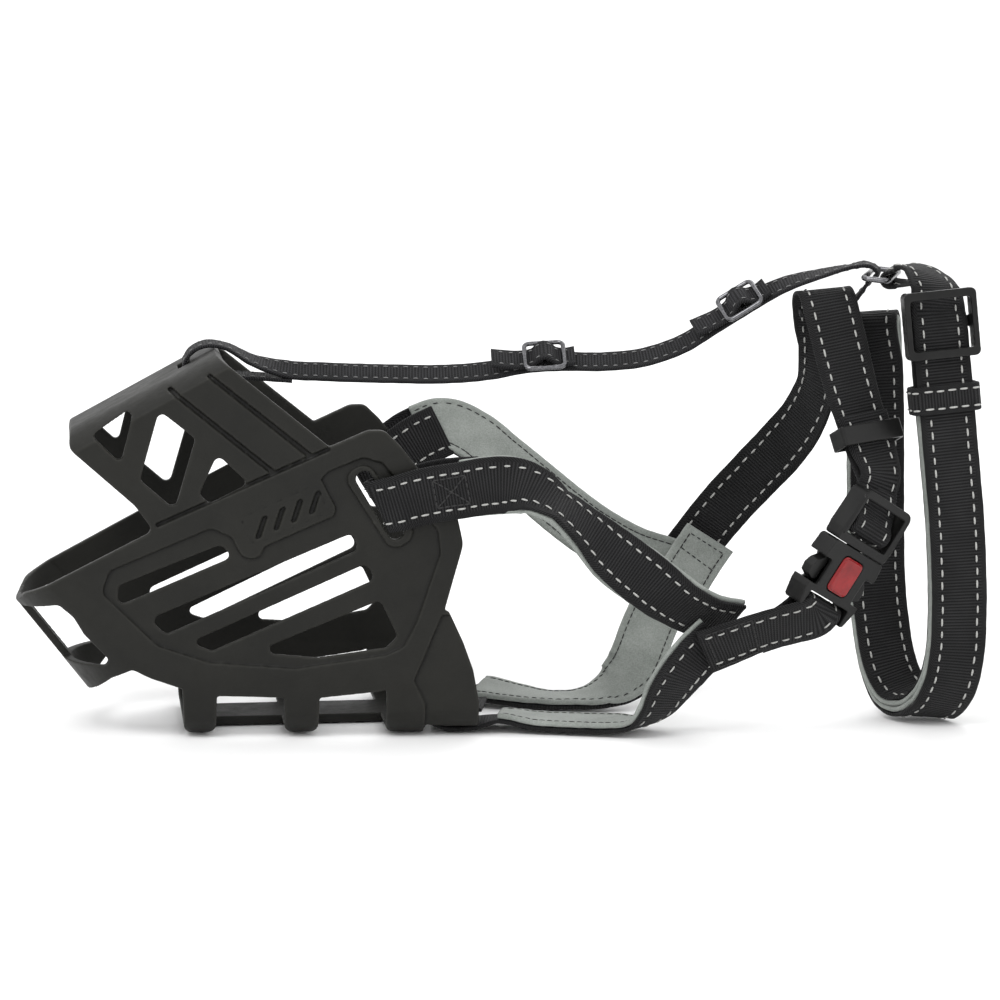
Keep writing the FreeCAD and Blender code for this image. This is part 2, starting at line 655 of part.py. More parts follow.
def wire_loop(name, centre, along, across, length, width, wire):
    """A closed rectangular wire with rounded corners, as a swept circle."""
    half_l = length / 2
    half_w = width / 2
    r = wire * 1.2
    spots = [(-half_l, -half_w), (half_l, -half_w), (half_l, half_w), (-half_l, half_w)]
    pts = [Vector(x, y, 0) for x, y in spots]
    edges = []
    for i in range(4):
        start, end, mid_c, rr = corner_arc(pts[i - 1], pts[i], pts[(i + 1) % 4], r)
        after = corner_arc(pts[i], pts[(i + 1) % 4], pts[(i + 2) % 4], r)[0]
        middle = mid_c + ((start + end) / 2 - mid_c).normalize() * rr
        edges.append(Part.Arc(start, middle, end).toShape())
        edges.append(Part.LineSegment(end, after).toShape())
    path = Part.Wire(edges)
    begin = edges[1].valueAt(edges[1].FirstParameter)
    heading = edges[1].tangentAt(edges[1].FirstParameter)
    circle = Part.Wire(Part.makeCircle(wire / 2, begin, heading))
    loop = path.makePipeShell([circle], True, False, 1)
    place = Placement(centre, Rotation(along, across, along.cross(across), "XYZ"))
    return loop, place


def make_wire_slider(label, centre, travel, across):
    """A rectangular wire slider with a centre bar; its end bars lie over the strap."""
    spot, t, w, n = slider_frame(centre, travel, across)
    wire = size("slider_wire")
    loop, place = wire_loop(
        label, spot, t, w, size("slider_length"), size("slider_width"), wire
    )
    bar = Part.makeCylinder(
        wire / 2, size("slider_width"), Vector(0, -size("slider_width") / 2, 0), Vector(0, 1, 0)
    )
    feature = doc.addObject("Part::Feature", label)
    feature.Shape = loop.fuse(bar).removeSplitter()
    feature.Placement = place
    return keep(feature, label)


def make_forehead_hardware():
    """Two wire sliders, each with the strap's own end humped over its centre bar, and the nape ring."""
    spots = {
        "front": ((88.5, -8.6, 129.2), (10, -1, 0.6), (0, -0.83, -0.55)),
        "rear": ((159, -18.3, 149.3), (8, -1, 5), (0, -0.83, -0.55)),
    }
    for where, (centre, travel, across) in spots.items():
        c, t, w, n = slider_frame(centre, travel, across)
        make_wire_slider("forehead_slider_" + where, tuple(c + n * 3.2), travel, across)
        arch = [
            (-19.0, 3.0), (-13.0, 1.75), (-7.0, 1.45), (-4.0, 2.4), (-2.2, 4.6), (0.0, 5.7),
            (2.2, 4.6), (4.0, 2.4), (7.0, 1.45), (11.0, 1.75),
        ]
        path = []
        for s, h in arch:
            p = c + t * s + n * h
            path.append((p.x, p.y, p.z, w.x, w.y, w.z))
        ribbon("forehead_strap_end_" + where, frames(path), "thin_width", "thin_thick")
    spot = Vector(208.2, -23.6, 160.7)
    across = Vector(0.37, 0.93, 0.06).normalize()
    along = Vector(0.93, -0.37, -0.1)
    along = (along - across * along.dot(across)).normalize()
    loop, place = wire_loop("nape_ring", spot, along, across, 9.0, 27.0, size("ring_wire"))
    feature = doc.addObject("Part::Feature", "nape_ring")
    feature.Shape = loop
    feature.Placement = place
    keep(feature, "nape_ring")


# ---------------------------------------------------------------- buckle

BUCKLE_AXES = (
    Vector(0.537, 0, 0.844).normalize(),
    Vector(0.726, 0.508, -0.462).normalize(),
    Vector(0.429, -0.860, -0.273).normalize(),
)
BUCKLE_SEAM = Vector(192.0, -56.0, 67.0)


def buckle_place():
    """Local X across the buckle, local Y up its length, local Z out of its face."""
    a, b, n = BUCKLE_AXES
    return Placement(BUCKLE_SEAM, Rotation(b, a, n, "XYZ"))


def new_body(name):
    body = doc.addObject("PartDesign::Body", name)
    return body


def plane_of(body, role):
    for feature in body.Origin.OriginFeatures:
        if feature.Role == role:
            return feature
    raise ValueError(role)


def body_sketch(body, name, level=0.0, role="XY_Plane"):
    sketch = body.newObject("Sketcher::SketchObject", name)
    sketch.AttachmentSupport = [(plane_of(body, role), "")]
    sketch.MapMode = "FlatFace"
    sketch.AttachmentOffset = Placement(Vector(0, 0, level), Rotation())
    return sketch


def pad(body, name, points, radius, low, high):
    """A pad between two levels; both levels may be sheet expressions."""
    sketch = body_sketch(body, name + "Sketch")
    bind(sketch, "AttachmentOffset.Base.z", low)
    outline(sketch, points, radius)
    feature = body.newObject("PartDesign::Pad", name)
    feature.Profile = sketch
    bind(feature, "Length", "(%s) - (%s)" % (high, low))
    return feature


def pocket(body, name, points, radius, low, high):
    """A pocket between two levels."""
    sketch = body_sketch(body, name + "Sketch")
    bind(sketch, "AttachmentOffset.Base.z", high)
    outline(sketch, points, radius)
    feature = body.newObject("PartDesign::Pocket", name)
    feature.Profile = sketch
    bind(feature, "Length", "(%s) - (%s)" % (high, low))
    return feature


def rectangle(x0, y0, x1, y1):
    return [(x0, y0), (x1, y0), (x1, y1), (x0, y1)]


def make_socket():
    """The female half: a flat case open at its mouth, with a window each side and a strap bar."""
    half = size("buckle_width") / 2
    long = size("socket_length")
    body = new_body("buckle_socket")
    shape = [
        (-half + 0.6, -0.15), (-half, -6), (-half, -20), (-half + 1.6, -long),
        (half - 1.6, -long), (half, -20), (half, -6), (half - 0.6, -0.15),
    ]
    pad(body, "SocketCase", shape, 1.6, "-@buckle_thick / 2", "@buckle_thick / 2")
    pocket(body, "SocketCavity", rectangle(-half + 2.2, -18.6, half - 2.2, 4), 0.6,
           "-@buckle_thick / 2 + 1.7", "@buckle_thick / 2 - 1.7")
    pocket(body, "SocketWindowLeft", rectangle(-half - 4, -17.6, -half + 4.4, -7.4), 1.2,
           "-@buckle_thick / 2 - 1", "@buckle_thick / 2 + 1")
    pocket(body, "SocketWindowRight", rectangle(half - 4.4, -17.6, half + 4, -7.4), 1.2,
           "-@buckle_thick / 2 - 1", "@buckle_thick / 2 + 1")
    pocket(body, "SocketStrapSlot", rectangle(-10.8, -23.2, 10.8, -20.2), 0.8,
           "-@buckle_thick / 2 - 1", "@buckle_thick / 2 + 1")
    pocket(body, "SocketBarRelief", rectangle(-10.8, -long - 3, 10.8, -22.6), 0.5,
           "@buckle_thick / 2 - 2.6", "@buckle_thick / 2 + 1")
    pocket(body, "SocketBarReliefBack", rectangle(-10.8, -long - 3, 10.8, -22.6), 0.5,
           "-@buckle_thick / 2 - 1", "-@buckle_thick / 2 + 2.6")
    pocket(body, "SocketBadgeSeat", rectangle(-5.6, -17.4, 5.6, -3.2), 2.2,
           "@buckle_thick / 2 - 0.6", "@buckle_thick / 2 + 1")
    body.Placement = buckle_place()
    keep(body, "buckle_socket")


def make_badge():
    """A blank domed badge in the socket's face."""
    body = new_body("buckle_badge")
    pad(body, "BadgePad", rectangle(-5.3, -17.1, 5.3, -3.5), 2.0,
        "@buckle_thick / 2 - 0.4", "@buckle_thick / 2 + 0.2")
    pad(body, "BadgeDome", rectangle(-4.7, -16.5, 4.7, -4.1), 1.7,
        "@buckle_thick / 2 + 0.2", "@buckle_thick / 2 - 0.4 + @badge_thick")
    body.Placement = buckle_place()
    keep(body, "buckle_badge")


def make_plug():
    """The male half: a shoulder, a middle guide, and a frame with two bars for the webbing."""
    half = size("buckle_width") / 2
    body = new_body("buckle_plug")
    frame = [
        (-half + 0.8, 0.15), (-half + 0.2, 4.5), (-half + 0.7, 20.5, 3.2),
        (half - 0.7, 20.5, 3.2), (half - 0.2, 4.5), (half - 0.8, 0.15),
    ]
    pad(body, "PlugFrame", frame, 1.2, "-@buckle_thick / 2 + 1.0", "@buckle_thick / 2 - 0.2")
    pocket(body, "PlugWindow", rectangle(-11.0, 8.8, 11.0, 17.6), 0.8,
           "-@buckle_thick / 2 - 1", "@buckle_thick / 2 + 1")
    pocket(body, "PlugLowerWindow", rectangle(-11.0, 3.6, 11.0, 7.2), 0.8,
           "-@buckle_thick / 2 - 1", "@buckle_thick / 2 + 1")
    pocket(body, "PlugMiddleBarTop", rectangle(-11.0, 3.6, 11.0, 12.0), 0.5,
           "@buckle_thick / 2 - 3.0", "@buckle_thick / 2 + 1")
    pocket(body, "PlugEndBarBack", rectangle(-11.0, 14.0, 11.0, 24.0), 0.5,
           "-@buckle_thick / 2 - 1", "@buckle_thick / 2 - 3.4")
    pocket(body, "PlugBarBack", rectangle(-11.0, 5.6, 11.0, 24.0), 0.5,
           "-@buckle_thick / 2 - 1", "-@buckle_thick / 2 + 3.2")
    pad(body, "PlugRib", rectangle(-13.1, 3.0, -11.7, 18.0), 0.6,
        "@buckle_thick / 2 - 0.8", "@buckle_thick / 2 + 0.5")
    pad(body, "PlugGuide", rectangle(-2.6, -14.5, 2.6, 1.5), 0.9, "-1.3", "1.3")
    body.Placement = buckle_place()
    keep(body, "buckle_plug")


def make_prong(label, hand):
    """One springy prong of the plug, with its hooked thumb pad in the socket's side window."""
    half = size("buckle_width") / 2
    root = half - 4.6
    arm = [
        (root - 1.6, -0.15), (root + 1.4, -0.15), (root + 2.0, -8.0), (half - 0.3, -10.0),
        (half + 0.9, -12.6), (half + 0.5, -15.6), (half - 2.6, -17.0), (half - 4.2, -16.2),
        (half - 4.4, -12.0), (root - 0.6, -7.0),
    ]
    points = [(hand * x, y) for x, y in arm]
    body = new_body(label)
    pad(body, label + "Arm", points, 0.7, "-@prong_thick / 2 - 0.6", "@prong_thick / 2 + 0.6")
    body.Placement = buckle_place()
    keep(body, label)


# ---------------------------------------------------------------- keepers and collar


def rectangle_ring(label, place, inner_x, inner_y, outer_x, outer_y, height, radius):
    """A closed rectangular loop, padded along local Z and centred on its placement."""
    body = new_body(label)
    low = "-(%s) / 2" % height
    high = "(%s) / 2" % height
    pad(body, label + "Outer", rectangle(-outer_x, -outer_y, outer_x, outer_y), radius, low, high)
    pocket(body, label + "Inner", rectangle(-inner_x, -inner_y, inner_x, inner_y), radius * 0.4,
           low + " - 1", high + " + 1")
    body.Placement = place
    return keep(body, label)


def make_tail_keeper():
    """The moulded keeper that holds the head strap's free end."""
    centre = Vector(198.6, -43.6, 105.0)
    travel = Vector(2.7, -4.2, -10.8).normalize()
    across = Vector(-0.94, -0.29, 0.12)
    across = (across - travel * across.dot(travel)).normalize()
    face = across.cross(travel)
    centre = centre + face * 1.15
    place = Placement(centre, Rotation(across, face, across.cross(face), "XYZ"))
    rectangle_ring("tail_keeper", place, 11.2, 3.1, 12.8, 4.7, "@keeper_height", 1.2)


def collar_run():
    """The middle of the folded collar: from the nape ring, down, round the bottom and up again."""
    return frames([
        (212.5, -25.3, 160.2, -0.37, -0.93, -0.06), (216.6, -27.2, 160.6, -0.5, -0.86, 0),
        (220.5, -34, 159.2, -0.8, -0.58, 0.1), (222.6, -40.5, 155, -0.95, -0.25, 0.1),
        (223.4, -45, 147, -1, 0, 0), (224.7, -46.7, 132.8, -1, 0, 0), (226, -47.4, 119, -1, 0, 0),
        (227.3, -48.1, 105.2, -1, 0, 0), (228.6, -48.8, 91.4, -1, 0, 0),
        (229.9, -49.4, 77.6, -1, 0, 0), (231, -49.8, 60, -1, 0, 0), (231.6, -49.6, 42, -1, 0, 0.04),
        (231.2, -48.4, 26, -1, 0, 0.08), (229.2, -45, 14, -1, 0, 0.1), (225.8, -38, 6.6, -1, 0, 0.1),
        (221.6, -29, 4.9, -1, 0, 0.05), (217.8, -20.5, 8.4, -1, 0, 0), (214.8, -15, 17.5, -1, 0, -0.06),
        (212.6, -12.6, 31, -1, 0, -0.12), (211, -11.6, 47, -1, 0, -0.2), (210.4, -11, 66, -1, 0, -0.08),
        (210.2, -10.4, 86, -1, 0, 0), (210, -9.8, 106, -1, 0, 0), (209.6, -9, 124, -0.97, 0.1, 0.1),
        (208.6, -8, 140, -0.9, 0.35, 0.2),
    ])


def make_collar():
    """The collar: webbing outside, soft lining inside, pressed flat and folded."""
    run = collar_run()
    web = size("lining_thick") + 0.15 + size("layer_gap") + size("webbing_thick") / 2
    line = size("lining_thick") / 2 + 0.15
    loop = folded(run, web, web + 2.4)
    p, w, t, n = run[0]
    tight = size("ring_wire") / 2 + 0.85 + size("webbing_thick") / 2
    loop[0] = (p + n * tight, w, t, n)
    start = []
    for degrees in (135, 90, 45):
        a = math.radians(degrees)
        spot = p + (t * (-math.sin(a)) + n * math.cos(a)) * tight
        travel = t * math.cos(a) + n * math.sin(a)
        start.append((spot, w, travel, w.cross(travel)))
    q, v, s, m = run[1]
    begin = [(q - m * web, v, s * -1, m * -1), (p - n * tight, w, t * -1, n * -1)]
    whole = begin + start + loop[:-3]
    ribbon("collar_webbing", whole, "webbing_width", "webbing_thick")
    lined = folded(run[6:], line, line + 2.4)
    ribbon("collar_lining", lined, "lining_width", "lining_thick")


def strip_frame(at):
    """Placement on the straight upper part of the collar, at a distance below its start."""
    top = Vector(223.4, -46.0, 147)
    travel = (Vector(229.9, -49.4, 77.6) - top).normalize()
    across = Vector(-1, 0, 0)
    across = (across - travel * across.dot(travel)).normalize()
    face = across.cross(travel)
    return top + travel * at, across, travel, face


def make_collar_hardware():
    """The plastic slider on the collar and the sewn webbing sleeve below it."""
    spot, across, travel, face = strip_frame(2.0)
    half_w = size("glide_width") / 2
    half_h = size("glide_height") / 2
    body = new_body("collar_slider")
    pad(body, "GlideFrame", rectangle(-half_w, -half_h, half_w, half_h), 2.0, "0.9", "7.6")
    pocket(body, "GlideWindow", rectangle(-11.0, -half_h + 3.0, 11.0, half_h - 3.0), 1.2, "-2", "12")
    pocket(body, "GlideStrapPath", rectangle(-11.0, -half_h - 4, 11.0, half_h + 4), 0.4, "-2", "4.6")
    pad(body, "GlideBar", rectangle(-half_w + 0.6, -2.0, half_w - 0.6, 2.0), 0.6, "-0.9", "0.9")
    turn = Rotation(across * -1, travel * -1, face, "XYZ")
    body.Placement = Placement(spot, turn)
    keep(body, "collar_slider")
    spot, across, travel, face = strip_frame(28.5)
    place = Placement(spot, Rotation(across, face, across.cross(face), "XYZ"))
    rectangle_ring("collar_keeper", place, 11.0, 4.6, 12.5, 6.1, "@sleeve_height", 1.4)


make_basket()
make_cheek_straps()
make_chin_straps()
make_head_strap()
make_patches()
make_forehead_strap()
make_forehead_hardware()
make_socket()
make_badge()
make_plug()
make_prong("prong_left", -1)
make_prong("prong_right", 1)
make_tail_keeper()
make_collar()
make_collar_hardware()
doc.recompute()

for thing in doc.Objects:
    if "Invalid" in thing.State or "Error" in thing.State:
        print("fault", thing.Name, thing.State)

for node in NODES:
    shape = node.Shape
    if shape.isNull() or not shape.isValid():
        print("bad shape", node.Label)
    if len(shape.Solids) != 1:
        print("solids", node.Label, len(shape.Solids))
    shape.exportStep("parts/%s.step" % node.Label)
    box = shape.optimalBoundingBox(False)
    print("%-28s %8.0f mm3  X %6.1f %6.1f  Y %6.1f %6.1f  Z %6.1f %6.1f" % (
        node.Label, shape.Volume, box.XMin, box.XMax, box.YMin, box.YMax, box.ZMin, box.ZMax))
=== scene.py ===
import math

import bmesh
import bpy
from mathutils import Matrix, Vector


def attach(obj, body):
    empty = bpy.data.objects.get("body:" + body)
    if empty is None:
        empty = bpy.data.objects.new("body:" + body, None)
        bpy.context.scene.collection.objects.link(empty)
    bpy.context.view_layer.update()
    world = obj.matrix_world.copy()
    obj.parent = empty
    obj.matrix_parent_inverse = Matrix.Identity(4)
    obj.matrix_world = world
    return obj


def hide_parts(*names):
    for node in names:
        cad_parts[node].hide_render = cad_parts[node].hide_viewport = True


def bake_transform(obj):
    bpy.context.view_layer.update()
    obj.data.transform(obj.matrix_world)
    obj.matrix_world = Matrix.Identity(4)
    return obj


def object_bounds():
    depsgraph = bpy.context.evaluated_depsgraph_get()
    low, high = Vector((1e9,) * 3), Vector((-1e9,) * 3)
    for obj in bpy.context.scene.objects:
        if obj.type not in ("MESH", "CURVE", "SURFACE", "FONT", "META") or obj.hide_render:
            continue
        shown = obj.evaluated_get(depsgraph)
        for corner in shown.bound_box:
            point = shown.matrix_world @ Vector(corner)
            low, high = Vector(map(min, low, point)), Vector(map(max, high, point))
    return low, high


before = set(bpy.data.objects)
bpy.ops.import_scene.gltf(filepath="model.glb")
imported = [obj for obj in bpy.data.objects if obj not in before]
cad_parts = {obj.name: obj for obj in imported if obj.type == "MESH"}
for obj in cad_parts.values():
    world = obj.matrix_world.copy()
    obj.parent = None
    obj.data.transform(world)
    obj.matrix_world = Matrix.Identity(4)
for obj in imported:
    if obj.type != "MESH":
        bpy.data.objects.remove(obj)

# The looks of a dog's basket muzzle. Strap sizes, stations and the weave are in millimetres, and MM
# turns a mesh's points to metres. Bump depths, voxels, lights and the camera are in metres.
MM = 0.001
WIDE, THICK = 20.0, 1.6  # the wide webbing
NARROW, NARROW_THICK = 10.0, 1.4  # the forehead strap
KEEPER_THICK = 1.5
SOFT_WIDE, SOFT_THICK, GAP = 20.6, 2.0, 0.3  # the foam lining, and the air under it
LINING_OFFSET = THICK / 2 + GAP + SOFT_THICK / 2
RING_WIRE = 2.0

# Rows of stitches, measured from the middle of the strap.
SEAM, EDGE_DIP = 6.35, 8.0
NARROW_SEAM, KEEPER_SEAM = 3.2, 3.1
LINING_SEAM, PATCH_SEAM = 7.8, 7.4

# The weave's repeats, and how far in from the edge the selvedge starts and is complete.
RIB_PITCH, WARP_PITCH, SELVEDGE_PITCH = 1.1, 1.0, 0.9
SELVEDGE_START, SELVEDGE_FULL = 2.3, 1.7


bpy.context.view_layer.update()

# ---------------------------------------------------------------- shader helpers


class Shader:
    """A material's node tree, with short calls for the nodes used here."""

    def __init__(self, name):
        self.material = bpy.data.materials.new(name)
        self.material.use_nodes = True
        self.tree = self.material.node_tree
        self.surface = self.tree.nodes["Principled BSDF"]

    def node(self, kind, **settings):
        made = self.tree.nodes.new(kind)
        for key, value in settings.items():
            setattr(made, key, value)
        return made

    def put(self, socket, value):
        if isinstance(value, bpy.types.NodeSocket):
            self.tree.links.new(value, socket)
        else:
            socket.default_value = value

    def math(self, operation, *values):
        made = self.node("ShaderNodeMath", operation=operation)
        for socket, value in zip(made.inputs, values):
            self.put(socket, value)
        return made.outputs[0]

    def wave(self, value, period, phase=None):
        """A 0..1 wave along a coordinate."""
        turns = self.math("MULTIPLY", value, 2 * math.pi / period)
        if phase is not None:
            turns = self.math("ADD", turns, phase)
        return self.math("MULTIPLY_ADD", self.math("COSINE", turns), 0.5, 0.5)

    def noise(self, scale, detail=3.0, rough=0.55):
        """Noise in the piece's own space, scale repeats to the metre."""
        made = self.node("ShaderNodeTexNoise")
        made.inputs["Scale"].default_value = scale
        made.inputs["Detail"].default_value = detail
        made.inputs["Roughness"].default_value = rough
        coord = self.node("ShaderNodeTexCoord")
        self.put(made.inputs["Vector"], coord.outputs["Object"])
        return made.outputs[0]

    def ramp(self, value, low, high, start=0.0, end=1.0):
        """Colour from low to high as value goes from start to end."""
        made = self.node("ShaderNodeValToRGB")
        made.color_ramp.elements[0].position = start
        made.color_ramp.elements[1].position = end
        made.color_ramp.elements[0].color = (*low, 1)
        made.color_ramp.elements[1].color = (*high, 1)
        self.put(made.inputs[0], value)
        return made.outputs[0]

    def spread(self, value, low, high, start=0.0, end=1.0):
        """A number from low to high as value goes from start to end."""
        made = self.node("ShaderNodeMapRange")
        self.put(made.inputs["Value"], value)
        made.inputs["From Min"].default_value = start
        made.inputs["From Max"].default_value = end
        made.inputs["To Min"].default_value = low
        made.inputs["To Max"].default_value = high
        return made.outputs[0]

    def shade(self, colour, amount):
        """A colour times a grey amount."""
        made = self.node("ShaderNodeVectorMath", operation="SCALE")
        self.put(made.inputs[0], colour)
        self.put(made.inputs["Scale"], amount)
        return made.outputs[0]

    def bump(self, height, distance, strength=1.0, under=None):
        made = self.node("ShaderNodeBump")
        made.inputs["Strength"].default_value = strength
        made.inputs["Distance"].default_value = distance
        self.put(made.inputs["Height"], height)
        if under is not None:
            self.put(made.inputs["Normal"], under)
        return made.outputs[0]

    def finish(self, colour, rough, normal=None, **constants):
        self.put(self.surface.inputs["Base Color"], colour)
        self.put(self.surface.inputs["Roughness"], rough)
        if normal is not None:
            self.put(self.surface.inputs["Normal"], normal)
        for key, value in constants.items():
            self.surface.inputs[key.replace("_", " ")].default_value = value
        return self.material


def strap_coordinates(s):
    """Millimetres along and across a strap."""
    uv = s.node("ShaderNodeUVMap", uv_map="strap")
    parts = s.node("ShaderNodeSeparateXYZ")
    s.put(parts.inputs[0], uv.outputs[0])
    return parts.outputs[0], parts.outputs[1]


def webbing_material(name, half, dark, light):
    """Woven nylon: cross ribs crossed by fine warp ends, and a tight selvedge along each edge."""
    s = Shader(name)
    u, v = strap_coordinates(s)
    pick = s.math("FLOOR", s.math("DIVIDE", u, RIB_PITCH))
    phase = s.math("MULTIPLY", pick, math.pi)
    rib = s.math("POWER", s.wave(u, RIB_PITCH), 0.8)
    warp = s.wave(v, WARP_PITCH, phase)
    body = s.math("MULTIPLY", rib, s.math("MULTIPLY_ADD", warp, 0.45, 0.55))
    selvedge = s.wave(s.math("ADD", u, s.math("ABSOLUTE", v)), SELVEDGE_PITCH)
    edge = s.spread(s.math("ABSOLUTE", v), 0.0, 1.0, half - SELVEDGE_START, half - SELVEDGE_FULL)
    mix = s.node("ShaderNodeMix")
    s.put(mix.inputs[0], edge)
    s.put(mix.inputs[2], body)
    s.put(mix.inputs[3], s.math("MULTIPLY", selvedge, 0.7))
    height = mix.outputs[0]
    worn = s.spread(s.noise(90), 0.75, 1.3, 0.3, 0.7)
    colour = s.ramp(s.math("MULTIPLY", height, worn), dark, light, 0.1, 1.0)
    fuzz = s.noise(4200, 2.0)
    normal = s.bump(height, 0.00035, 0.9, s.bump(fuzz, 0.0001, 0.5))
    rough = s.spread(fuzz, 0.62, 0.82, 0.3, 0.7)
    return s.finish(colour, rough, normal, Sheen_Weight=0.03, Sheen_Roughness=0.5,
                    Specular_IOR_Level=0.18)


def thread_material(name, dark, light, rough):
    """A twisted sewing thread."""
    s = Shader(name)
    grain = s.noise(2600, 2.0)
    colour = s.ramp(grain, dark, light, 0.3, 0.7)
    return s.finish(colour, rough, s.bump(grain, 0.0001, 0.6))


def lining_material():
    """Grey foam lining with a brushed face, a little lighter and dirtier in patches."""
    s = Shader("lining_foam")
    patch = s.noise(60, 4.0)
    grain = s.noise(1800, 3.0)
    both = s.math("MULTIPLY_ADD", grain, 0.5, s.math("MULTIPLY", patch, 0.5))
    colour = s.ramp(both, (0.155, 0.170, 0.155), (0.285, 0.305, 0.285), 0.35, 0.65)
    normal = s.bump(grain, 0.00025, 0.55)
    return s.finish(colour, s.spread(grain, 0.78, 0.95, 0.3, 0.7), normal,
                    Sheen_Weight=0.15, Sheen_Roughness=0.6)


def rubber_material():
    """Warm black moulded rubber: matt grain, faint clouds, painted shade in the grooves and a painted
    highlight on convex edges.
    """
    s = Shader("basket_rubber")
    curve = s.node("ShaderNodeNewGeometry").outputs["Pointiness"]
    cloud = s.noise(28, 5.0, 0.6)
    grain = s.noise(2200, 2.0)
    scuff = s.noise(160, 6.0, 0.7)
    colour = s.ramp(cloud, (0.0075, 0.0075, 0.0062), (0.0125, 0.0123, 0.0102), 0.35, 0.7)
    # Painted shade: the colour darkens down to 0.15 where the surface is concave (low pointiness).
    painted_recess_shade = s.spread(curve, 0.15, 1.0, 0.455, 0.493)
    # Painted highlight: the colour lightens, up to nearly double, on convex edges (high pointiness).
    edge = s.spread(curve, 0.0, 0.9, 0.508, 0.56)
    colour = s.shade(colour, s.math("ADD", painted_recess_shade, edge))
    rough = s.math("ADD", s.spread(cloud, 0.50, 0.60, 0.35, 0.7),
                   s.spread(scuff, -0.05, 0.08, 0.4, 0.7))
    normal = s.bump(scuff, 0.0002, 0.25, s.bump(grain, 0.0001, 0.35))
    return s.finish(colour, rough, normal, Specular_IOR_Level=0.22)


def plastic_material(name, dark, light, rough):
    """Moulded acetal with a fine grain, shinier in patches."""
    s = Shader(name)
    cloud = s.noise(110, 4.0)
    grain = s.noise(3200, 2.0)
    colour = s.ramp(cloud, dark, light, 0.35, 0.7)
    return s.finish(colour, s.spread(cloud, rough - 0.06, rough + 0.08, 0.3, 0.7),
                    s.bump(grain, 0.00008, 0.35), Specular_IOR_Level=0.24)


def badge_material():
    """A plain domed resin badge, with a faint cloud in its red."""
    s = Shader("badge_resin")
    cloud = s.noise(240, 3.0)
    colour = s.ramp(cloud, (0.17, 0.006, 0.008), (0.27, 0.011, 0.013), 0.3, 0.7)
    return s.finish(colour, s.spread(cloud, 0.14, 0.24, 0.3, 0.7), s.bump(cloud, 0.0001, 0.1),
                    Coat_Weight=0.12, Coat_Roughness=0.08, Specular_IOR_Level=0.3)


def wire_material():
    """Dark plated wire with a fine grain."""
    s = Shader("plated_wire")
    grain = s.noise(900, 4.0)
    colour = s.ramp(grain, (0.09, 0.09, 0.095), (0.20, 0.20, 0.21), 0.3, 0.7)
    return s.finish(colour, s.spread(grain, 0.16, 0.34, 0.3, 0.7), s.bump(grain, 0.00005, 0.3),
                    Metallic=1.0)


WEB_DARK, WEB_LIGHT = (0.002, 0.002, 0.0022), (0.024, 0.024, 0.025)
WEBBING = webbing_material("webbing_black", WIDE / 2, WEB_DARK, WEB_LIGHT)
WEBBING_NARROW = webbing_material("webbing_keeper", NARROW / 2, WEB_DARK, WEB_LIGHT)
THIN = webbing_material("webbing_thin", NARROW / 2, (0.003, 0.003, 0.0033), (0.027, 0.027, 0.030))
LINING = lining_material()
BRIGHT = thread_material("thread_reflective", (0.26, 0.26, 0.25), (0.44, 0.44, 0.42), 0.5)
FAINT = thread_material("thread_faint", (0.10, 0.10, 0.10), (0.22, 0.22, 0.22), 0.6)
BLACK = thread_material("thread_black", (0.008, 0.008, 0.008), (0.022, 0.022, 0.022), 0.7)
RUBBER = rubber_material()
PLASTIC = plastic_material("buckle_acetal", (0.0045, 0.0045, 0.0045),
                           (0.0095, 0.0095, 0.009), 0.34)
BADGE = badge_material()
WIRE = wire_material()

# Kinds of stitching: thread, length of a stitch, gap after it, (width, height) of the thread.
BRIGHT_ROW = (BRIGHT, 2.7, 1.8, (0.75, 0.5))
KEEPER_ROW = (BRIGHT, 2.9, 1.4, (0.75, 0.5))
FAINT_ROW = (FAINT, 1.7, 1.9, (0.45, 0.35))
LINING_ROW = (BLACK, 2.2, 0.5, (0.45, 0.4))
FOLD_ROW = (BLACK, 2.0, 0.4, (0.6, 0.5))
SEWN_ROW = (BLACK, 2.0, 0.4, (0.5, 0.45))
LINING_SINK, PATCH_SINK = 0.45, 0.3  # how far the thread pulls into the foam, both faces together

# ---------------------------------------------------------------- straps


def frames(stations):
    """Position, width, travel and face directions at each station of a strap."""
    spots = [Vector(s[:3]) for s in stations]
    out = []
    for i, spot in enumerate(spots):
        ahead = spots[min(i + 1, len(spots) - 1)]
        behind = spots[max(i - 1, 0)]
        travel = (ahead - behind).normalized()
        if 0 < i < len(spots) - 1:
            one = (spots[i + 1] - spot).normalized()
            two = (spot - spots[i - 1]).normalized()
            travel = (one + two).normalized()
        width = Vector(stations[i][3:6])
        width = (width - travel * width.dot(travel)).normalized()
        out.append((spot, width, travel, width.cross(travel)))
    return out


def shifted(run, offset):
    """A run moved off along its face."""
    return [(p + n * offset, w, t, n) for p, w, t, n in run]


def folded(run, first, last):
    """Out along one side of a run, round its end, and back on the other.

    The strap lies first away from the run, and widens to last over the final station and a half.
    """
    total = len(run) - 1
    reaches = [first + (last - first) * max(0.0, (i - total + 1.5) / 1.5) for i in range(total + 1)]
    out = [(p + n * reach, w, t, n) for (p, w, t, n), reach in zip(run, reaches)]
    p, w, t, n = run[-1]
    for degrees in (45, 90, 135):
        a = math.radians(degrees)
        travel = t * math.cos(a) - n * math.sin(a)
        spot = p + (t * math.sin(a) + n * math.cos(a)) * last
        out.append((spot, w, travel, w.cross(travel)))
    for i in range(total, -1, -1):
        p, w, t, n = run[i]
        out.append((p - n * reaches[i], w, t * -1, n * -1))
    return out


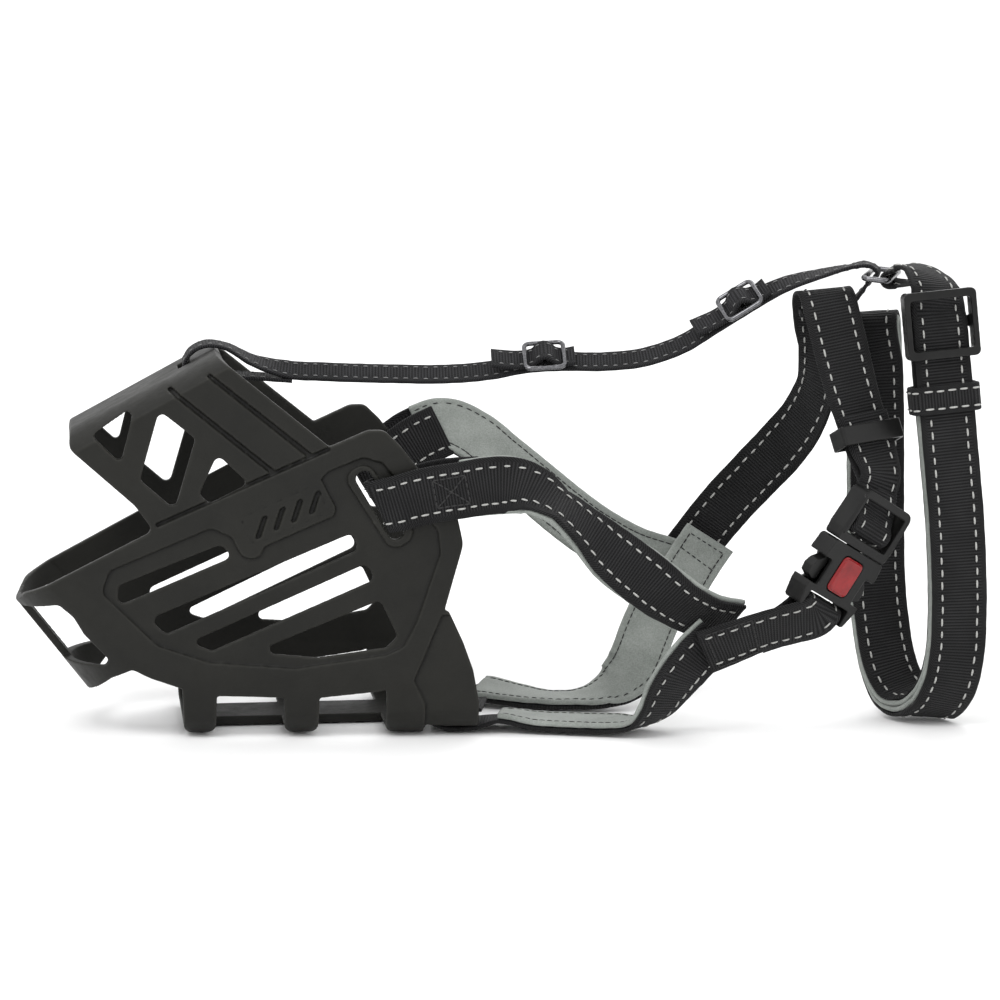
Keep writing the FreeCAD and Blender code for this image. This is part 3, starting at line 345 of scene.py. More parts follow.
def hermite(one, two, u):
    """A frame part-way between two frames, on a smooth curve through both."""
    p0, w0, t0, n0 = one
    p1, w1, t1, n1 = two
    span = (p1 - p0).length
    a = 2 * u**3 - 3 * u**2 + 1
    b = u**3 - 2 * u**2 + u
    c = -2 * u**3 + 3 * u**2
    d = u**3 - u**2
    spot = p0 * a + t0 * (b * span) + p1 * c + t1 * (d * span)
    e = 6 * u * u - 6 * u
    speed = p0 * (e / span) + t0 * (3 * u * u - 4 * u + 1)
    travel = (speed + p1 * (-e / span) + t1 * (3 * u * u - 2 * u)).normalized()
    width = w0 * (1 - u) + w1 * u
    width = (width - travel * width.dot(travel)).normalized()
    return spot, width, travel, width.cross(travel)


class Run:
    """A strap's centre line, sampled finely, with the distance along it."""

    def __init__(self, stations, step=1.0):
        self.frames = [stations[0]]
        for one, two in zip(stations, stations[1:]):
            parts = max(1, math.ceil((two[0] - one[0]).length / step))
            for k in range(1, parts + 1):
                self.frames.append(hermite(one, two, k / parts))
        self.along = [0.0]
        for one, two in zip(self.frames, self.frames[1:]):
            self.along.append(self.along[-1] + (two[0] - one[0]).length)
        self.length = self.along[-1]

    def at(self, s):
        """The frame at a distance along the strap."""
        s = min(max(s, 0.0), self.length)
        low, high = 0, len(self.along) - 1
        while high - low > 1:
            middle = (low + high) // 2
            if self.along[middle] <= s:
                low = middle
            else:
                high = middle
        u = (s - self.along[low]) / max(1e-9, self.along[high] - self.along[low])
        one, two = self.frames[low], self.frames[high]
        mixed = [a.lerp(b, u) for a, b in zip(one, two)]
        return mixed[0], mixed[1].normalized(), mixed[2].normalized(), mixed[3].normalized()


PROFILE_STEPS = 24
DIP_SPREAD = 0.7  # how far a sewn dip reaches each side
CROWN = 0.05  # how much the face falls away to the edges


def profile(width, thick, dips, depth):
    """The strap's cross-section as (across, height) points, with a soft edge and sewn dips."""
    r = thick / 2 * 0.9
    half = width / 2
    top = []
    for i in range(PROFILE_STEPS + 1):
        v = (half - r) * (2 * i / PROFILE_STEPS - 1)
        sink = sum(depth * math.exp(-((abs(v) - d) / DIP_SPREAD) ** 2) for d in dips)
        top.append((v, thick / 2 - sink - CROWN * (v / half) ** 2))
    points = list(top)
    for degrees in (60, 30, 0, -30, -60):
        a = math.radians(degrees)
        points.append((half - r + r * math.cos(a), r * math.sin(a) * 1.05))
    points += [(v, -h) for v, h in reversed(top)]
    for degrees in (-60, -30, 0, 30, 60):
        a = math.radians(degrees)
        points.append((-half + r - r * math.cos(a), r * math.sin(a) * 1.05))
    return points


def link(name, mesh, material):
    """A smooth-shaded object in the scene, made of one material."""
    thing = bpy.data.objects.new(name, mesh)
    bpy.context.scene.collection.objects.link(thing)
    mesh.materials.append(material)
    for face in mesh.polygons:
        face.use_smooth = True
    return thing


def ribbon(name, run, width, thick, material, dips, depth):
    """A strap with rounded edges, lying on a run, with slight unevenness along it."""
    shape = profile(width, thick, dips, depth)
    count = len(shape)
    verts, faces, coords = [], [], []
    for s, (p, w, t, n) in zip(run.along, run.frames):
        sway = 0.07 * math.sin(s * 0.41 + width) + 0.05 * math.sin(s * 1.13)
        for v, h in shape:
            soft = h * (1 + 0.05 * math.sin(s * 0.9 + v * 0.6))
            verts.append((p + w * (v + sway * abs(v) / width) + n * soft) * MM)
    rings = len(run.frames)
    for i in range(rings - 1):
        for k in range(count):
            m = (k + 1) % count
            faces.append((i * count + k, i * count + m, (i + 1) * count + m, (i + 1) * count + k))
            a, b = shape[k][0], shape[m][0]
            s0, s1 = run.along[i], run.along[i + 1]
            coords += [(s0, a), (s0, b), (s1, b), (s1, a)]
    for i in (0, rings - 1):
        loop = [i * count + k for k in range(count)]
        faces.append(loop if i else loop[::-1])
        edge = shape if i else shape[::-1]
        coords += [(run.along[i] + h, v) for v, h in edge]
    mesh = bpy.data.meshes.new(name)
    mesh.from_pydata(verts, [], faces)
    layer = mesh.uv_layers.new(name="strap")
    for spot, uv in zip(layer.data, coords):
        spot.uv = uv
    tidy = bmesh.new()
    tidy.from_mesh(mesh)
    bmesh.ops.recalc_face_normals(tidy, faces=tidy.faces)
    tidy.to_mesh(mesh)
    tidy.free()
    return link(name, mesh, material)


STITCH_SIDES = 7
STITCH_RINGS = ((-1.0, 0.25), (-0.8, 0.8), (-0.3, 1.0), (0.3, 1.0), (0.8, 0.8), (1.0, 0.25))


def stitch(verts, faces, centre, along, across, up, size):
    """One sunk, rounded stitch added to a list of vertices and faces."""
    long, wide, high = size
    base = len(verts)
    for x, r in STITCH_RINGS:
        lift = 0.35 * high * (1 - x * x)
        for k in range(STITCH_SIDES):
            a = 2 * math.pi * k / STITCH_SIDES
            spot = centre + along * (x * long / 2) + across * (math.cos(a) * r * wide / 2)
            verts.append((spot + up * (math.sin(a) * r * high / 2 + lift)) * MM)
    last = base + (len(STITCH_RINGS) - 1) * STITCH_SIDES
    for ring in range(base, last, STITCH_SIDES):
        for k in range(STITCH_SIDES):
            m = (k + 1) % STITCH_SIDES
            faces.append((ring + k, ring + m, ring + STITCH_SIDES + m, ring + STITCH_SIDES + k))
    faces.append([base + k for k in reversed(range(STITCH_SIDES))])
    faces.append([last + k for k in range(STITCH_SIDES)])


def seams(name, run, lines, thick, material, dash, gap, size):
    """Rows of stitches on a strap. Each line is (face, [(along, across), ...])."""
    verts, faces = [], []
    for side, path in lines:
        for (s0, v0), (s1, v1) in zip(path, path[1:]):
            reach = math.hypot(s1 - s0, v1 - v0)
            number = max(1, round(reach / (dash + gap)))
            pitch = reach / number
            for k in range(number):
                u = (k + 0.5) / number
                s, v = s0 + (s1 - s0) * u, v0 + (v1 - v0) * u
                v += 0.10 * math.sin(s * 2.3 + v0)
                p, w, t, n = run.at(s)
                heading = (t * ((s1 - s0) / reach) + w * ((v1 - v0) / reach)).normalized()
                up = n * side
                long = min(dash, pitch * 0.9) * (1 + 0.08 * math.sin(s * 5.1))
                spot = p + w * v + up * (thick / 2 - 0.04)
                stitch(verts, faces, spot, heading, heading.cross(up), up, (long, size[0], size[1]))
    mesh = bpy.data.meshes.new(name)
    mesh.from_pydata(verts, [], faces)
    return link(name, mesh, material)


def rows(run, sides, across, start=1.5, end=1.5):
    """Two straight rows of stitches on each named face, start and end in from the strap's ends."""
    out = []
    for side in sides:
        for v in (-across, across):
            out.append((side, [(start, v), (run.length - end, v)]))
    return out


def box_seam(side, s0, s1, v):
    """A sewn rectangle, from s0 to s1 along the strap and v each side of its middle."""
    corners = [(s0, -v), (s1, -v), (s1, v), (s0, v), (s0, -v)]
    return (side, corners)


# Stations: the strap's middle (x, y, z), then the direction of its width (x, y, z).
# Most straps lie on the same stations as the CAD's. SOCKET_START stands up to 1.4 mm off them.
CHEEK_NEAR = [
    (61, -46.6, 90.4, -0.15, 0, 1), (53.5, -41.4, 89.6, -0.18, 0, 1),
    (47, -38.8, 88.4, -0.22, 0, 0.98), (39, -38.2, 86.4, -0.3, 0, 0.95),
    (31.5, -37.6, 83.8, -0.45, 0, 0.88), (25.4, -41, 82.4, -0.5, 0, 0.86),
    (30.6, -44.9, 83.6, -0.42, 0, 0.9), (39, -46.2, 86, -0.24, 0, 0.97),
    (54.5, -49, 88.9, -0.13, 0, 0.99), (66.7, -54.6, 91.2, -0.12, 0.2, 0.97),
    (77.2, -59.6, 90.7, 0, 0.7, 0.7), (87, -62, 85, 0.28, 0.88, 0.38),
    (96, -62, 77, 0.43, 0.77, 0.47), (105, -61.5, 68, 0.58, 0.42, 0.7),
    (117, -60, 58, 0.48, 0, 0.88), (129, -57.4, 48.5, 0.3, -0.5, 0.8),
    (140, -52.6, 42.4, 0.2, -0.64, 0.75), (150, -48.4, 39.6, 0.2, -0.64, 0.75),
]
CHEEK_FAR = [
    (57, 42.6, 99, -0.33, 0.2, 0.9), (47.5, 40, 95, -0.36, 0.05, 0.92),
    (39.5, 38.2, 89.8, -0.42, 0, 0.9), (31.5, 37.6, 84.8, -0.5, 0, 0.86),
    (25.4, 41, 82.6, -0.5, 0, 0.86), (30.4, 45, 85.6, -0.46, 0, 0.88),
    (38, 46.2, 91.4, -0.4, 0, 0.9), (48.5, 48, 97.6, -0.33, 0.15, 0.9),
    (58.4, 48.4, 100, -0.15, 0.5, 0.84), (68.8, 46, 95.8, 0.2, 0.5, 0.85),
    (79, 42.4, 87.5, 0.35, 0.4, 0.85), (90, 38, 78.5, 0.42, 0.3, 0.86),
    (101, 33, 69.5, 0.45, 0.2, 0.87), (112, 29, 61.5, 0.45, 0.1, 0.88),
    (126, 25, 54, 0.42, 0, 0.9), (140, 21.6, 49.5, 0.36, 0, 0.93),
]
CHIN_NEAR = [
    (64, -29, 8.6, 0, -1, 0), (55, -27, 7.6, 0, -1, 0), (48, -25.5, 7.3, 0, -1, 0),
    (44.6, -25.5, 4.4, 0, -1, 0), (48.5, -25.6, 1.55, 0, -1, 0), (61, -27, 1.5, 0, -1, 0),
    (70, -28.5, 3.0, 0, -1, 0.1), (83, -32, 1.6, 0, -1, 0), (96, -36, 1.45, 0, -1, 0),
    (109, -40.5, 1.7, -0.3, -0.95, 0), (118, -44.5, 2.6, -0.45, -0.88, 0.1),
    (123.5, -48, 7.5, -0.62, -0.76, 0.2), (127.5, -51, 15, -0.75, -0.58, 0.32),
    (131.5, -54.2, 22, -0.78, -0.46, 0.42), (137, -55.2, 29, -0.77, -0.42, 0.48),
    (144, -55, 35.2, -0.74, -0.4, 0.54),
]
CHIN_FAR = [
    (64, 27.5, 8.6, 0, 1, 0), (55, 26.5, 7.6, 0, 1, 0), (48, 25.5, 7.3, 0, 1, 0),
    (44.6, 25.5, 4.4, 0, 1, 0), (48.5, 25.4, 1.55, 0, 1, 0), (61, 22.6, 1.5, 0, 1, 0),
    (68, 19.5, 3.6, 0, 1, 0.1), (78, 14, 2.6, 0, 1, 0.1), (90, 8, 1.45, 0, 1, 0),
    (102, 5, 1.7, 0, 1, 0), (112, 5, 3.6, -0.35, 0.9, 0.1), (119.5, 6.6, 8, -0.75, 0.6, 0.2),
    (124.5, 9, 14, -0.96, 0.25, 0.15), (129, 12.4, 24, -0.99, 0.1, 0.1),
    (134, 16, 35, -0.96, 0, 0.27), (139, 18.6, 45, -0.9, 0, 0.42),
]
HEAD = [
    (146, 24.6, 52, -0.66, 0, 0.75), (152, 20.6, 61.5, -0.8, 0, 0.6), (160, 15.6, 73, -0.83, 0.1, 0.55),
    (169, 11, 84, -0.84, 0.15, 0.53), (177.5, 6, 94.5, -0.78, 0.4, 0.48),
    (184.5, 0, 105.5, -0.6, 0.66, 0.45), (188.5, -6, 118, -0.5, 0.8, 0.3),
    (189.5, -9.5, 132, -0.66, 0.72, 0.1), (188.5, -12.4, 145, -0.92, 0.38, -0.05),
    (187.5, -16.6, 152.6, -0.97, 0.2, -0.1), (187.8, -22, 155, -0.99, 0.05, -0.1),
    (188.2, -27.4, 152.4, -0.99, 0, -0.14),
    (189.6, -31, 145, -0.98, 0, -0.12), (191.5, -33.6, 136, -1, 0, -0.06),
    (194, -37, 124, -0.99, -0.1, -0.02), (197, -41, 112, -0.96, -0.22, 0.06),
    (199.6, -45, 101, -0.93, -0.32, 0.14), (201.5, -49.2, 90.5, -0.84, -0.42, 0.34),
]
PATCH = [
    (142.4, 13.8, 43.5, -0.67, 0, 0.74), (147.6, 13.8, 52, -0.74, 0, 0.67),
    (153.4, 12.6, 61, -0.8, 0, 0.6),
]
COLLAR = [
    (212.5, -25.3, 160.2, -0.37, -0.93, -0.06), (216.6, -27.2, 160.6, -0.5, -0.86, 0),
    (220.5, -34, 159.2, -0.8, -0.58, 0.1), (222.6, -40.5, 155, -0.95, -0.25, 0.1),
    (223.4, -45, 147, -1, 0, 0), (224.7, -46.7, 132.8, -1, 0, 0), (226, -47.4, 119, -1, 0, 0),
    (227.3, -48.1, 105.2, -1, 0, 0), (228.6, -48.8, 91.4, -1, 0, 0),
    (229.9, -49.4, 77.6, -1, 0, 0), (231, -49.8, 60, -1, 0, 0), (231.6, -49.6, 42, -1, 0, 0.04),
    (231.2, -48.4, 26, -1, 0, 0.08), (229.2, -45, 14, -1, 0, 0.1), (225.8, -38, 6.6, -1, 0, 0.1),
    (221.6, -29, 4.9, -1, 0, 0.05), (217.8, -20.5, 8.4, -1, 0, 0), (214.8, -15, 17.5, -1, 0, -0.06),
    (212.6, -12.6, 31, -1, 0, -0.12), (211, -11.6, 47, -1, 0, -0.2), (210.4, -11, 66, -1, 0, -0.08),
    (210.2, -10.4, 86, -1, 0, 0), (210, -9.8, 106, -1, 0, 0), (209.6, -9, 124, -0.97, 0.1, 0.1),
    (208.6, -8, 140, -0.9, 0.35, 0.2),
]
TILT = (0, -0.83, -0.55)
FLAT = (0, -1, -0.12)
FOREHEAD = [
    (-2, -1, 123.6) + FLAT, (-12, -0.6, 124.4) + FLAT, (-22, -0.2, 125) + FLAT,
    (-32, 0, 124.6) + FLAT, (-37.5, 0, 125.2) + FLAT, (-40.4, 0, 128.6) + FLAT,
    (-38.6, 0, 133.4) + FLAT, (-33, 0, 136.4) + FLAT, (-26, 0, 135.6) + FLAT,
    (-16, -0.4, 130.4) + (0, -0.95, -0.3), (-4, -1, 127) + TILT, (10, -1.6, 126) + TILT,
    (32, -3, 125.2) + TILT, (54, -5, 125) + TILT, (70, -6.6, 126.4) + TILT,
    (79, -7.6, 128.2) + TILT, (88.5, -8.6, 129.2) + TILT, (98, -9.6, 129.4) + TILT,
    (110, -11, 129.4) + TILT, (124, -13, 131) + TILT, (138, -15, 136) + TILT,
    (149, -17, 143) + TILT, (157, -18, 148) + TILT, (165, -19, 153) + TILT,
    (174, -20, 157.4) + (0, -0.9, -0.4), (186, -21.6, 161) + (-0.1, -0.95, -0.2),
    (197, -23, 163.6) + (-0.2, -0.97, 0), (204, -23.4, 164.2) + (-0.36, -0.93, 0),
    (206.9, -23.5, 161.4) + (-0.36, -0.93, 0), (204.2, -23, 158.4) + (-0.36, -0.93, 0),
    (198, -22.5, 151.4) + (-0.1, -0.99, 0), (188, -22.4, 147.6) + (0, -1, 0),
    (179, -21, 147) + (0, -0.98, -0.15),
]

SOCKET_START = [
    (138.5, -58.6, 31, -0.5, -0.42, 0.76), (149, -60.4, 35, -0.48, -0.5, 0.72),
    (160, -60.6, 38.8, -0.5, -0.56, 0.66), (172.4, -60.0, 41.6, -0.62, -0.54, 0.57),
]


def unit(*xyz):
    return Vector(xyz).normalized()


# The buckle's directions, and the point where its plug meets its socket.
BUCKLE_UP = unit(0.537, 0, 0.844)
BUCKLE_ACROSS = unit(0.726, 0.508, -0.462)
BUCKLE_OUT = unit(0.429, -0.860, -0.273)
BUCKLE_SEAM = Vector((192.0, -56.0, 67.0))


def lined_strap(name, stations, first, side):
    """A webbing strap, with a foam lining on one face from its station number first.

    Returns the pieces made and the webbing's run.
    """
    run = frames(stations)
    web = Run(run)
    band = ribbon(name + "_webbing_woven", web, WIDE, THICK, WEBBING, (SEAM, EDGE_DIP), 0.10)
    bright = seams(name + "_bright_stitches", web, rows(web, (-side,), SEAM), THICK, *BRIGHT_ROW)
    soft_run = Run(shifted(run[first:], side * LINING_OFFSET))
    soft = ribbon(name + "_lining_foam", soft_run, SOFT_WIDE, SOFT_THICK, LINING,
                  (LINING_SEAM,), 0.28)
    seam = seams(name + "_lining_seam", soft_run, rows(soft_run, (side,), LINING_SEAM),
                 SOFT_THICK - LINING_SINK, *LINING_ROW)
    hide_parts(name + "_webbing")
    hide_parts(name + "_lining")
    return [band, bright, soft, seam], web


FOLD_X, FOLD_AFTER, FOLD_LENGTH, FOLD_HALF = 44, 50, 12, 5.0


def fold_stitches(name, web, outer):
    """The dark box and cross stitched through a strap's folded end, on its outer face.

    They start where the strap passes FOLD_X, once FOLD_AFTER has gone round inside the slot.
    """
    spot = next(s for s in range(FOLD_AFTER + 1, int(web.length)) if web.at(s)[0].x > FOLD_X)
    end = spot + FOLD_LENGTH
    lines = [box_seam(outer, spot, end, FOLD_HALF),
             (outer, [(spot, -FOLD_HALF), (end, FOLD_HALF)]),
             (outer, [(spot, FOLD_HALF), (end, -FOLD_HALF)])]
    sewn = seams(name, web, lines, THICK, *FOLD_ROW)
    return [sewn]


def bend_all(pieces):
    for piece in pieces:
        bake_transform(piece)


def make_lined_straps():
    """The cheek and chin straps: the near ones have their transforms baked into their meshes, the far
    ones ride on the basket.
    """
    cheek, web = lined_strap("cheek_strap_near", CHEEK_NEAR, 8, 1)
    bend_all(cheek + fold_stitches("cheek_near_fold", web, -1))
    chin, _ = lined_strap("chin_strap_near", CHIN_NEAR, 6, 1)
    bend_all(chin)
    cheek, web = lined_strap("cheek_strap_far", CHEEK_FAR, 7, -1)
    cheek += fold_stitches("cheek_far_fold", web, 1)
    chin, _ = lined_strap("chin_strap_far", CHIN_FAR, 6, -1)
    for piece in cheek + chin:
        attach(piece, "basket")


# Through the plug's bars and back, as (up, out) from the buckle's seam.
HEAD_WEAVE = ((17.2, -1.6), (12.6, 0.8), (9.0, 3.3), (5.6, 2.2), (5.4, -1.4), (8.6, -3.6),
              (13.5, -4.8))
TAIL_OFFSET = 2.3  # how far the tail lies off the strap that it runs back along


def make_head_strap():
    """The unlined webbing over the nape, through the plug's bars and back up."""
    run = frames(HEAD)
    weave = [local_station(up, out) for up, out in HEAD_WEAVE]
    tail = [(*(p + n * TAIL_OFFSET), *w) for p, w, t, n in run[:-4:-1]]
    strap = Run(frames(HEAD + weave + tail))
    band = ribbon("head_strap_woven", strap, WIDE, THICK, WEBBING, (SEAM,), 0.08)
    thread = seams("head_strap_bright_stitches", strap, rows(strap, (1, -1), SEAM, start=6, end=1),
                   THICK, *BRIGHT_ROW)
    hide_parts("head_strap_webbing")
    finish_pieces([band, thread], "basket")


def local_station(up, out):
    """A station given in the buckle's own directions."""
    p = BUCKLE_SEAM + BUCKLE_UP * up + BUCKLE_OUT * out
    return (*p, *(-BUCKLE_ACROSS))


def finish_pieces(pieces, body):
    """Pieces that ride on one body."""
    for piece in pieces:
        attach(piece, body)


# Round the socket's bar, as (down, out) from the buckle's seam, and back to the junction.
SOCKET_LOOP = ((26.0, 3.3), (23.0, 3.1), (21.5, 0.0), (23.0, -3.1), (26.0, -3.3))
SOCKET_BACK = [
    (166.5, -52.6, 38.5, -0.62, -0.54, 0.57), (158.5, -51.4, 35.4, -0.5, -0.56, 0.66),
]
SOCKET_BOX = (3, 19, 8.2)  # the sewn box: start and end along the strap, and half its width


def make_socket_strap():
    """The short webbing loop between the near straps and the socket's bar."""
    loop = [local_station(-down, out) for down, out in SOCKET_LOOP]
    strap = Run(frames(SOCKET_START + loop + SOCKET_BACK))
    band = ribbon("socket_strap_woven", strap, WIDE, THICK, WEBBING, (SEAM,), 0.08)
    thread = seams("socket_strap_bright_stitches", strap, rows(strap, (1, -1), SEAM), THICK,
                   *BRIGHT_ROW)
    lines = [box_seam(side, *SOCKET_BOX) for side in (-1, 1)]
    sewn = seams("socket_strap_sewn", strap, lines, THICK, *SEWN_ROW)
    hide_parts("socket_strap")
    finish_pieces([band, thread, sewn], "socket")


def make_far_patch():
    """The grey foam patch sewn over the far straps' meeting place."""
    strap = Run(frames(PATCH), 0.6)
    band = ribbon("far_junction_patch_foam", strap, SOFT_WIDE, SOFT_THICK, LINING, (PATCH_SEAM,), 0.2)
    start, middle, end = 1.6, strap.length * 0.52, strap.length - 2.4
    v = PATCH_SEAM
    lines = []
    for side in (1, -1):
        lines.append((side, [(start, -v), (end, -v), (end, v), (start, v), (start, -v)]))
        lines.append((side, [(middle, -v), (middle + 1.2, v)]))
    thread = seams("far_junction_patch_seam", strap, lines, SOFT_THICK - PATCH_SINK, *SEWN_ROW)
    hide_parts("far_junction_patch")
    finish_pieces([band, thread], "basket")


# Each slider's centre and travel, and its strap end's rise over it, as (along, height).
SLIDERS = {
    "front": ((88.5, -8.6, 129.2), (10, -1, 0.6)),
    "rear": ((159, -18.3, 149.3), (8, -1, 5)),
}
STRAP_END = ((-19.0, 3.4), (-13.0, 2.2), (-7.0, 1.8), (-4.0, 2.6), (-2.2, 4.7), (0.0, 5.7),
             (2.2, 4.7), (4.0, 2.6), (7.0, 1.8), (11.0, 2.2))


def narrow_strap(name, run, sides, body):
    """The forehead strap's webbing with its faint stitches."""
    band = ribbon(name + "_woven", run, NARROW, NARROW_THICK, THIN, (NARROW_SEAM,), 0.06)
    thread = seams(name + "_stitches", run, rows(run, sides, NARROW_SEAM), NARROW_THICK, *FAINT_ROW)
    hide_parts(name)
    finish_pieces([band, thread], body)


def make_forehead_strap():
    """The narrow strap from the crown to the nape ring, and its two doubled ends."""
    narrow_strap("forehead_strap", Run(frames(FOREHEAD)), (1, -1), "basket")
    for where, (centre, travel) in SLIDERS.items():
        t = unit(*travel)
        w = Vector(TILT)
        w = (w - t * w.dot(t)).normalized()
        n = w.cross(t)
        path = [(*(Vector(centre) + t * s + n * h), *w) for s, h in STRAP_END]
        end = Run(frames(path), 0.7)
        narrow_strap("forehead_strap_end_" + where, end, (1,), where + "_slider")


FOLD_GAP = 0.15  # half the air between the collar's two layers
FOLD_BULGE = 2.4  # how much further out each layer lies at the far fold
RING_GAP = 0.85  # air between the ring's wire and the collar round it
LINING_FIRST = 6  # the station of COLLAR where its lining starts


def make_collar():
    """The collar pressed flat and folded: webbing outside, foam lining inside."""
    run = frames(COLLAR)
    web = SOFT_THICK + FOLD_GAP + GAP + THICK / 2
    loop = folded(run, web, web + FOLD_BULGE)
    p, w, t, n = run[0]
    tight = RING_WIRE / 2 + RING_GAP + THICK / 2
    loop[0] = (p + n * tight, w, t, n)
    round_ring = []
    for degrees in (135, 90, 45):
        a = math.radians(degrees)
        travel = t * math.cos(a) + n * math.sin(a)
        spot = p + (n * math.cos(a) - t * math.sin(a)) * tight
        round_ring.append((spot, w, travel, w.cross(travel)))
    next_p, next_w, next_t, next_n = run[1]
    begin = [(next_p - next_n * web, next_w, next_t * -1, next_n * -1),
             (p - n * tight, w, t * -1, n * -1)]
    strap = Run(begin + round_ring + loop[:-3])
    band = ribbon("collar_woven", strap, WIDE, THICK, WEBBING, (SEAM, EDGE_DIP), 0.08)
    lines = rows(strap, (1,), SEAM) + [(-1, [(0, v), (14, v)]) for v in (-SEAM, SEAM)]
    thread = seams("collar_bright_stitches", strap, lines, THICK, *BRIGHT_ROW)
    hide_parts("collar_webbing")
    finish_pieces([band, thread], "collar")
    line = SOFT_THICK / 2 + FOLD_GAP
    lined = Run(folded(run[LINING_FIRST:], line, line + FOLD_BULGE))
    soft = ribbon("collar_lining_foam", lined, SOFT_WIDE, SOFT_THICK, LINING, (), 0.1)
    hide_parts("collar_lining")
    finish_pieces([soft], "collar")


# The straight part of the collar that its keeper slides on, and the keeper's section.
COLLAR_TOP, COLLAR_LOW = Vector((223.4, -46.0, 147)), Vector((229.9, -49.4, 77.6))
KEEPER_DOWN = 28.5
KEEPER_HALF_X, KEEPER_HALF_Y, KEEPER_ROUND = 11.75, 5.35, 2.6


def make_collar_keeper():
    """A sleeve of webbing sewn into a ring round the collar, with two rows of stitches."""
    down = (COLLAR_LOW - COLLAR_TOP).normalized()
    across = Vector((-1, 0, 0))
    across = (across - down * across.dot(down)).normalized()
    face = across.cross(down)
    centre = COLLAR_TOP + down * KEEPER_DOWN
    r = KEEPER_ROUND
    ring = []
    for qx, qy, first in ((1, 1, 0), (-1, 1, 90), (-1, -1, 180), (1, -1, 270)):
        for degrees in (first, first + 30, first + 60, first + 90):
            a = math.radians(degrees)
            x = qx * (KEEPER_HALF_X - r) + r * math.cos(a)
            y = qy * (KEEPER_HALF_Y - r) + r * math.sin(a)
            travel = across * -math.sin(a) + face * math.cos(a)
            ring.append((centre + across * x + face * y, down, travel, down.cross(travel)))
    ring.append(ring[0])
    side = 1 if ring[0][3].dot(across) > 0 else -1
    strap = Run(ring, 0.6)
    band = ribbon("collar_keeper_woven", strap, NARROW, KEEPER_THICK, WEBBING_NARROW,
                  (KEEPER_SEAM,), 0.08)
    lines = rows(strap, (side,), KEEPER_SEAM, start=0, end=0)
    thread = seams("collar_keeper_stitches", strap, lines, KEEPER_THICK, *KEEPER_ROW)
    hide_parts("collar_keeper")
    finish_pieces([band, thread], "collar_keeper")


# ---------------------------------------------------------------- moulded pieces


def moulded(node, name, voxel, rounds, material, body):
    """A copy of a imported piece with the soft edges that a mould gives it.

    The voxel is in metres, and the copy is smoothed for a number of rounds.
    """
    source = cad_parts[node]
    mesh = source.data.copy()
    thing = bpy.data.objects.new(name + "_raw", mesh)
    bpy.context.scene.collection.objects.link(thing)
    tidy = bmesh.new()
    tidy.from_mesh(mesh)
    bmesh.ops.remove_doubles(tidy, verts=tidy.verts, dist=1e-6)
    tidy.to_mesh(mesh)
    tidy.free()
    remesh = thing.modifiers.new("remesh", "REMESH")
    remesh.mode = "VOXEL"
    remesh.voxel_size = voxel
    smooth = thing.modifiers.new("smooth", "SMOOTH")
    smooth.factor = 0.5
    smooth.iterations = rounds
    bpy.context.view_layer.update()
    graph = bpy.context.evaluated_depsgraph_get()
    made = bpy.data.meshes.new_from_object(thing.evaluated_get(graph))
    made.materials.clear()
    bpy.data.objects.remove(thing)
    piece = link(name, made, material)
    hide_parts(node)
    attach(piece, body)
    return piece


def make_moulded():
    """The rubber and plastic pieces, and smooth shading for the wire ones."""
    basket_voxel = 0.0005
    small_voxel = 0.00026
    moulded("basket_shell", "basket_moulding", basket_voxel, 3, RUBBER, "basket")
    for node, name, rounds, body in (
        ("buckle_socket", "socket_moulding", 5, "socket"),
        ("buckle_plug", "plug_moulding", 5, "basket"),
        ("prong_left", "prong_left_moulding", 4, "prong_left"),
        ("prong_right", "prong_right_moulding", 4, "prong_right"),
        ("tail_keeper", "tail_keeper_moulding", 5, "tail_keeper"),
        ("collar_slider", "collar_slider_moulding", 6, "collar_slider"),
    ):
        moulded(node, name, small_voxel, rounds, PLASTIC, body)
    moulded("buckle_badge", "badge_dome", small_voxel * 0.8, 12, BADGE, "socket")
    for node in ("forehead_slider_front", "forehead_slider_rear", "nape_ring"):
        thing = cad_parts[node]
        thing.data.materials.clear()
        thing.data.materials.append(WIRE)
        for face in thing.data.polygons:
            face.use_smooth = True


# ---------------------------------------------------------------- stage


FLOOR_RADIUS, FLOOR_DROP = 60.0, 0.0002
SKY_STRENGTH = 1.15
LIGHT_TARGET = Vector((0.07, 0.0, 0.08))


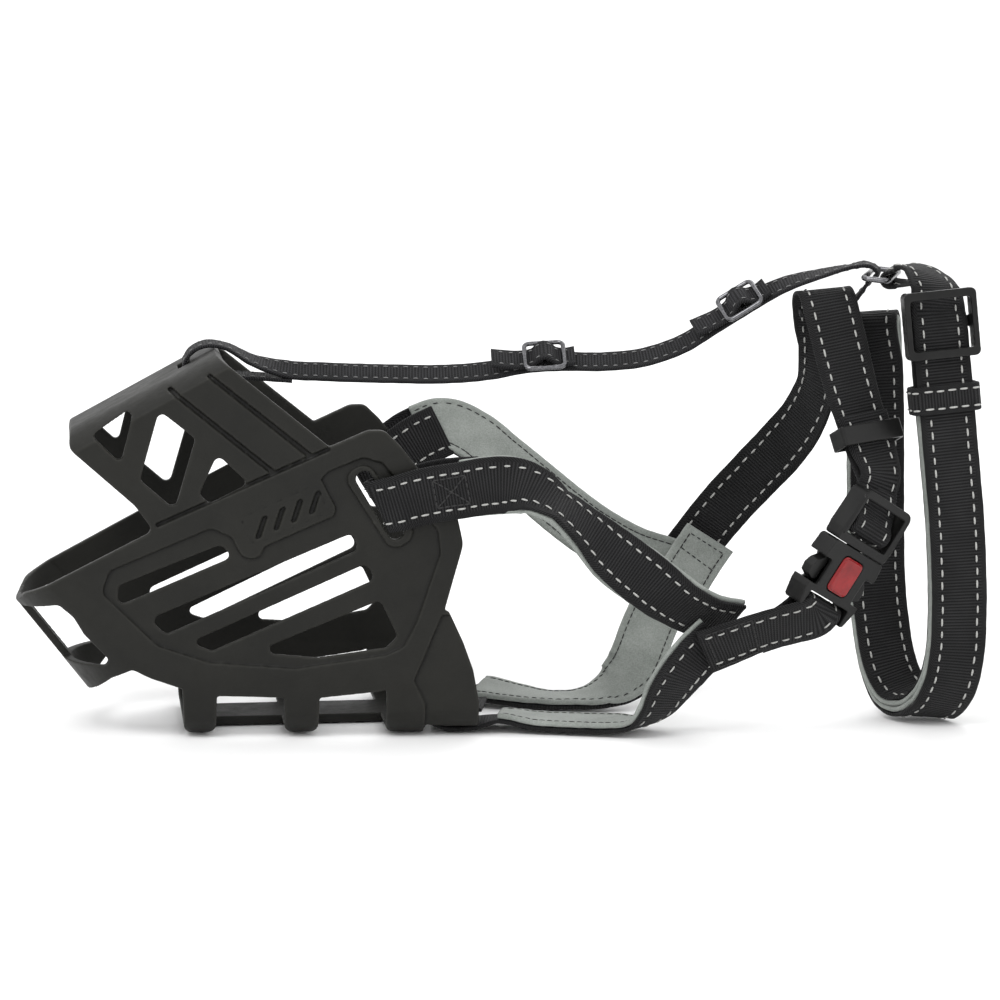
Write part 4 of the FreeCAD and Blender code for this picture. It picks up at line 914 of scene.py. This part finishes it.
def make_stage():
    """A plain pale floor, a white sky and three soft lights."""
    disc = bmesh.new()
    bmesh.ops.create_circle(disc, cap_ends=True, segments=96, radius=FLOOR_RADIUS)
    mesh = bpy.data.meshes.new("floor")
    disc.to_mesh(mesh)
    disc.free()
    s = Shader("floor_paper")
    cloud = s.noise(3.0)
    paper = s.finish(s.ramp(cloud, (0.90, 0.90, 0.90), (0.92, 0.92, 0.92)), 0.9)
    floor = link("floor", mesh, paper)
    floor.location.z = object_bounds()[0][2] - FLOOR_DROP
    world = bpy.data.worlds.new("studio")
    world.use_nodes = True
    sky = world.node_tree.nodes["Background"]
    sky.inputs["Color"].default_value = (1.0, 1.0, 1.0, 1)
    sky.inputs["Strength"].default_value = SKY_STRENGTH
    bpy.context.scene.world = world
    bpy.context.scene.view_settings.view_transform = "Standard"
    softbox("key", (-0.7, -0.9, 1.7), 0.8, 14)
    softbox("fill", (1.5, -1.1, 0.7), 1.2, 3)
    softbox("rim", (0.5, 1.4, 1.3), 1.0, 8)


def softbox(name, spot, size, power):
    """A square light aimed at the object: place and size in metres, power in watts."""
    light = bpy.data.lights.new(name, "AREA")
    light.shape = "SQUARE"
    light.size = size
    light.energy = power
    lamp = bpy.data.objects.new(name, light)
    bpy.context.scene.collection.objects.link(lamp)
    lamp.location = spot
    aim = (LIGHT_TARGET - Vector(spot)).to_track_quat("-Z", "Y")
    lamp.rotation_euler = aim.to_euler()


# The view: towards the camera and across the picture, the point looked at, and how far off.
VIEW_BACK, VIEW_RIGHT = unit(-0.12068, -0.98289, 0.13917), unit(0.99255, -0.12187, 0)
VIEW_TARGET = Vector((0.07339, 0.0, 0.07818))
VIEW_DISTANCE = 1.3


def make_camera():
    """A long lens, a little above the table, from the side that carries the buckle."""
    data = bpy.data.cameras.new("camera")
    data.lens = 128.7
    data.sensor_width = 36.0
    data.clip_end = 200.0
    camera = bpy.data.objects.new("camera", data)
    bpy.context.scene.collection.objects.link(camera)
    turn = Matrix((VIEW_RIGHT, VIEW_BACK.cross(VIEW_RIGHT), VIEW_BACK)).transposed().to_4x4()
    camera.matrix_world = Matrix.Translation(VIEW_TARGET + VIEW_BACK * VIEW_DISTANCE) @ turn
    bpy.context.scene.camera = camera


make_lined_straps()
make_head_strap()
make_socket_strap()
make_far_patch()
make_forehead_strap()
make_collar()
make_collar_keeper()
make_moulded()
make_stage()
make_camera()
